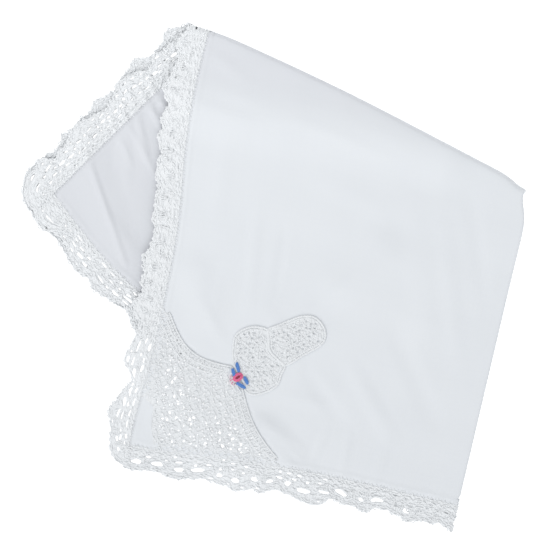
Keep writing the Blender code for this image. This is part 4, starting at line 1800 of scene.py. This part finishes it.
@dataclass
class Wings:
    """The pair of wings: a fine filling, outline cords, a vein and the line that parts them."""

    pile: Pile
    lower: tuple = (
        (33.4, 38.7), (31.9, 44.2), (31.7, 49.8), (34.0, 53.2), (38.6, 55.8), (44.6, 55.8),
        (45.8, 51.6), (47.0, 47.4), (50.6, 44.6), (54.4, 42.4), (53.6, 38.4), (52.8, 33.8),
        (49.4, 30.4), (44.2, 27.8), (40.4, 28.6), (39.2, 31.6), (36.6, 34.9),
    )
    upper: tuple = (
        (44.6, 55.8), (48.2, 58.4), (52.2, 61.4), (57.4, 64.6), (62.6, 65.4), (66.8, 62.6),
        (68.6, 58.2), (67.0, 53.8), (61.4, 48.6), (54.4, 42.4), (50.6, 44.6), (47.0, 47.4),
        (45.8, 51.6),
    )
    divide: tuple = ((44.6, 55.8), (45.8, 51.6), (47.0, 47.4), (50.6, 44.6), (54.4, 42.4))
    veins: tuple = (
        ((52.5, 48.5), (57.5, 53.5), (63.0, 59.0)), ((40.0, 36.0), (42.5, 42.0), (41.5, 49.0)),
    )
    height: float = 0.3
    hole_pitch: float = 2.5
    hole_chance: float = 0.8
    hole_rim: float = 1.7
    # way inwards from the outline, radius and height of the cords round each wing
    cords: tuple = ((0.1, 0.5, 0.4), (1.15, 0.4, 0.36))
    divide_cord: float = 0.5
    vein_cord: float = 0.36
    middle_height: float = 0.5
    seed: int = 31

    def holes(self, loop: Loop, turn: float) -> list[list[Spot]]:
        """Small holes in rows along one wing.

        Args:
            loop: the wing's outline.
            turn: the way its rows run.

        Returns:
            The outlines of the holes.
        """
        chance, middle, found = np.random.default_rng(self.seed), np.mean(loop, axis=0), []
        for row in range(-9, 10):
            for number in range(-9, 10):
                along = self.hole_pitch * (number + 0.5 * (row % 2))
                along += 0.3 * chance.standard_normal()
                beside = 0.8 * self.hole_pitch * row + 0.25 * chance.standard_normal()
                long, wide = 0.34 + 0.26 * chance.random(), 0.24 + 0.16 * chance.random()
                likely = chance.random()
                u, v = turned(middle, along, beside, turn)
                spot = (np.array([u]), np.array([v]))
                free = inside(*spot, loop)[0] and away_from(*spot, loop)[0] > self.hole_rim
                if likely < self.hole_chance and free:
                    found.append(Oval(float(u), float(v), long, wide, turn).outline(8))
        return found

    def build(self) -> list[bpy.types.Object]:
        """Make the wings.

        Returns:
            Their threads and their grounds.
        """
        work, grounds = Threadwork("wing_threads", self.pile, bead_length=1.2), []
        for name, points, turn in (("lower", self.lower, 0.25), ("upper", self.upper, 0.653)):
            loop = curve_through(points)
            holes, line = self.holes(loop, turn), np.array(loop)
            ground = f"{name}_wing_ground"
            grounds.append(ground_sheet(ground, self.pile, loop, holes, 1.0, self.height))
            filling = Filling(1.1, 2.1, 0.32, turn, 0.16, 0.32, self.height + 0.12, 0.2)
            filling.lay(work, loop, holes)
            away = line - line.mean(axis=0)
            reach = np.linalg.norm(away, axis=1)[:, None]
            for inwards, radius, height in self.cords:
                cord = line.mean(axis=0) + away * (1 - inwards / reach)
                lay_cord(work, as_spots(*cord.T), radius, height, True)
        cords = [(self.divide, self.divide_cord)] + [(vein, self.vein_cord) for vein in self.veins]
        for points, radius in cords:
            lay_cord(work, curve_through(points, closed=False), radius, self.middle_height)
        return [work.build(), *grounds]


@dataclass
class Body:
    """The butterfly's stitched body: a pink bud between four blue stitches."""

    pile: Pile
    bud: Oval = Oval(36.2, 33.7, 2.1, 1.45, pi / 4)
    # u, v of the foot and of the tip
    stitches: tuple = (
        ((36.2, 35.8), (34.5, 39.5)),
        ((34.8, 33.7), (33.3, 36.8)),
        ((38.7, 34.5), (40.7, 31.6)),
        ((36.0, 31.4), (40.1, 29.9)),
    )
    height: float = 1.15
    thread: float = 0.3
    # u0, v0, u1, v1
    strays: tuple = (
        (34.3, 32.5, 33.2, 31.5), (34.6, 31.5, 34.0, 30.3), (33.9, 33.6, 32.8, 33.5),
        (35.3, 30.9, 35.2, 30.0), (33.5, 32.5, 33.1, 32.7),
    )
    stray_height: float = 0.75
    stray_thread: float = 0.14
    bud_thread: float = 0.36
    bud_rise: float = 0.25

    def stitch(self, name: str, foot: Spot, tip: Spot) -> bpy.types.Object:
        """Make one blue stitch of three laid threads.

        Args:
            name: name of the piece.
            foot: where it starts by the bud.
            tip: where it ends.

        Returns:
            The object.
        """
        work, start = Threadwork(name, self.pile), np.array(foot)
        way = np.array(tip) - start
        left = np.array([-way[1], way[0]]) / np.linalg.norm(way)
        share = np.linspace(0.0, 1.0, 9)
        for offset in (-0.47, 0.0, 0.47):
            bow = offset * np.sin(pi * (0.15 + 0.7 * share))
            spots = start + share[:, None] * way + bow[:, None] * left
            w = self.height + 0.3 * np.sin(pi * share) - 0.3 * abs(offset)
            work.lay(*spots.T, w, self.thread)
        return work.build()

    def bud_threads(self) -> bpy.types.Object:
        """Make the pink bud as two rings of thread, the inner one higher.

        Returns:
            The object.
        """
        work = Threadwork("bud_threads", self.pile)
        for number, grow in enumerate((-0.1, -0.6)):
            line = spaced(self.bud.outline(32, grow), 0.3, True)
            work.lay(*line.T, self.height + self.bud_rise * number, self.bud_thread)
        return work.build()

    def stray_threads(self) -> bpy.types.Object:
        """Make the short pink ends that show beside the bud.

        Returns:
            The object.
        """
        work, share = Threadwork("stray_threads", self.pile), np.linspace(0.0, 1.0, 6)
        for u0, v0, u1, v1 in self.strays:
            w = self.stray_height + 0.1 * np.sin(pi * share)
            work.lay(u0 + (u1 - u0) * share, v0 + (v1 - v0) * share, w, self.stray_thread)
        return work.build()

    def bud_heart(self) -> bpy.types.Object:
        """Make the darker thread along the bud's middle.

        Returns:
            The object.
        """
        work = Threadwork("bud_heart", self.pile)
        way = np.array([cos(self.bud.turn), sin(self.bud.turn)])
        spots = np.array([self.bud.u, self.bud.v]) + np.linspace(-1.3, 1.3, 8)[:, None] * way
        work.lay(*spots.T, self.height + self.bud_rise, self.thread)
        return work.build()


@dataclass
class Studio:
    """The pale floor, the soft lights and the camera."""

    field_of_view: float = 237.7
    aim: Spot = (-0.08, 0.59)
    lens: float = 180.0
    sensor: float = 36.0
    nearest: float = 0.05
    farthest: float = 20.0
    floor_size: float = 6.0
    floor_glow: float = 1.0
    floor_shade: float = 0.4
    floor_roughness: float = 0.9
    key_strength: float = 1.25
    key_softness: float = 1.0
    key_way: Way = (0.35, 0.95, -1.05)
    ambient: float = 0.66
    ambient_colour: Colour = (0.97, 0.985, 1.0)
    fill_strength: float = 0.30
    fill_size: float = 0.25
    fill_place: Way = (-0.14, 0.26, 0.30)

    @staticmethod
    def stand(name: str, data: bpy.types.ID) -> bpy.types.Object:
        """Put something into the scene."""
        thing = bpy.data.objects.new(name, data)
        bpy.context.scene.collection.objects.link(thing)
        return thing

    def floor(self) -> None:
        """Make the floor, which glows so that the gaps show white."""
        half, shade = self.floor_size / 2, self.floor_shade
        mesh = bpy.data.meshes.new("floor")
        corners = [(-half, -half, 0), (half, -half, 0), (half, half, 0), (-half, half, 0)]
        mesh.from_pydata(corners, [], [(0, 1, 2, 3)])
        graph = Graph("pale_floor")
        graph.feed(graph.shader, {
            "Base Color": (shade, shade, shade, 1.0), "Roughness": self.floor_roughness,
            "Emission Color": (1.0, 1.0, 1.0, 1.0), "Emission Strength": self.floor_glow,
        })
        mesh.materials.append(graph.material)
        self.stand("floor", mesh)

    def lights(self) -> None:
        """Make the light from all round, the key and the fill."""
        world = bpy.data.worlds.new("studio")
        bpy.context.scene.world = world
        world.use_nodes = True
        back = world.node_tree.nodes["Background"]
        back.inputs["Color"].default_value = (*self.ambient_colour, 1.0)
        back.inputs["Strength"].default_value = self.ambient
        light = bpy.data.lights.new("key", "SUN")
        light.energy, light.angle = self.key_strength, self.key_softness
        key = self.stand("key", light)
        key.rotation_euler = Vector(self.key_way).to_track_quat("-Z", "Y").to_euler()
        light = bpy.data.lights.new("fill", "AREA")
        light.energy, light.size = self.fill_strength, self.fill_size
        fill = self.stand("fill", light)
        fill.location = self.fill_place
        fill.rotation_euler = (-Vector(self.fill_place)).to_track_quat("-Z", "Y").to_euler()

    def camera(self) -> None:
        """Make the camera, straight above."""
        lens = bpy.data.cameras.new("camera")
        lens.lens, lens.sensor_width = self.lens, self.sensor
        lens.clip_start, lens.clip_end = self.nearest, self.farthest
        camera = self.stand("camera", lens)
        distance = self.field_of_view * MM * self.lens / self.sensor
        camera.location = (self.aim[0] * MM, self.aim[1] * MM, distance)
        bpy.context.scene.camera = camera
        bpy.context.scene.view_settings.view_transform = "Standard"

    def build(self) -> None:
        """Make the floor, lights and camera."""
        self.floor()
        self.lights()
        self.camera()


def settle(
    thing: bpy.types.Object, finish: bpy.types.Material, nodes: Sequence[str],
) -> bpy.types.Object:
    """Finish a piece, let it ride and hide the solids that it stands for.

    Args:
        thing: the piece.
        finish: its material.
        nodes: the solids that it replaces.

    Returns:
        The piece.
    """
    thing.data.materials.append(finish)
    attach(thing, ROOT)
    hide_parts(*nodes)
    log.info("%s: %d faces", thing.name, len(thing.data.polygons))
    return thing


def main() -> None:
    """Build every piece in order."""
    logging.basicConfig(level=logging.INFO, format="%(name)s %(message)s")
    pile = Pile()
    log.info("origin shift %s mm", np.round(pile.shift / MM, 3))
    window = Window()
    cloth = settle(Cloth(pile, window).build(), Lawn().make(), ["cloth"])
    crochet = Thread("crochet_white", *WHITE).make()
    close = CloseStitches("crochet_close", *WHITE).make()
    net = Thread("crochet_fine", *FINE_WHITE).make()
    close_net = CloseStitches("crochet_fine_close", *FINE_WHITE).make()
    # painted highlight: near-white knots for the bright flecks of light in the net
    painted_highlight = Thread("crochet_painted_highlight", *HIGHLIGHT_WHITE).make()
    threads, grounds = Edging(pile, Border()).build()
    pieces = [settle(thing, crochet, ["lace_border"]) for thing in threads]
    pieces += [settle(thing, close, ["lace_border"]) for thing in grounds]
    for node, things, last in (
        ("corner_net", CornerNet(pile, window).build(), painted_highlight),
        ("wings", Wings(pile).build(), close_net),
    ):
        for thing, finish in zip(things, (net, close_net, last)):
            pieces.append(settle(thing, finish, [node]))
    body = Body(pile)
    pink = Thread("stitch_pink", *PINK, SATIN_ROUGHNESS).make()
    heart = Thread("stitch_crimson", *CRIMSON, SATIN_ROUGHNESS).make()
    blue = Thread("stitch_blue", *BLUE, SATIN_ROUGHNESS).make()
    pieces.append(settle(body.bud_threads(), pink, ["bud"]))
    pieces.append(settle(body.bud_heart(), heart, ["bud"]))
    pieces.append(settle(body.stray_threads(), pink, ["bud"]))
    for number, (foot, tip) in enumerate(body.stitches, start=1):
        stitch = body.stitch(f"stitch_{number}", foot, tip)
        pieces.append(settle(stitch, blue, [f"petal_{number}"]))
    Studio().build()


if __name__ == "__main__":
    main()
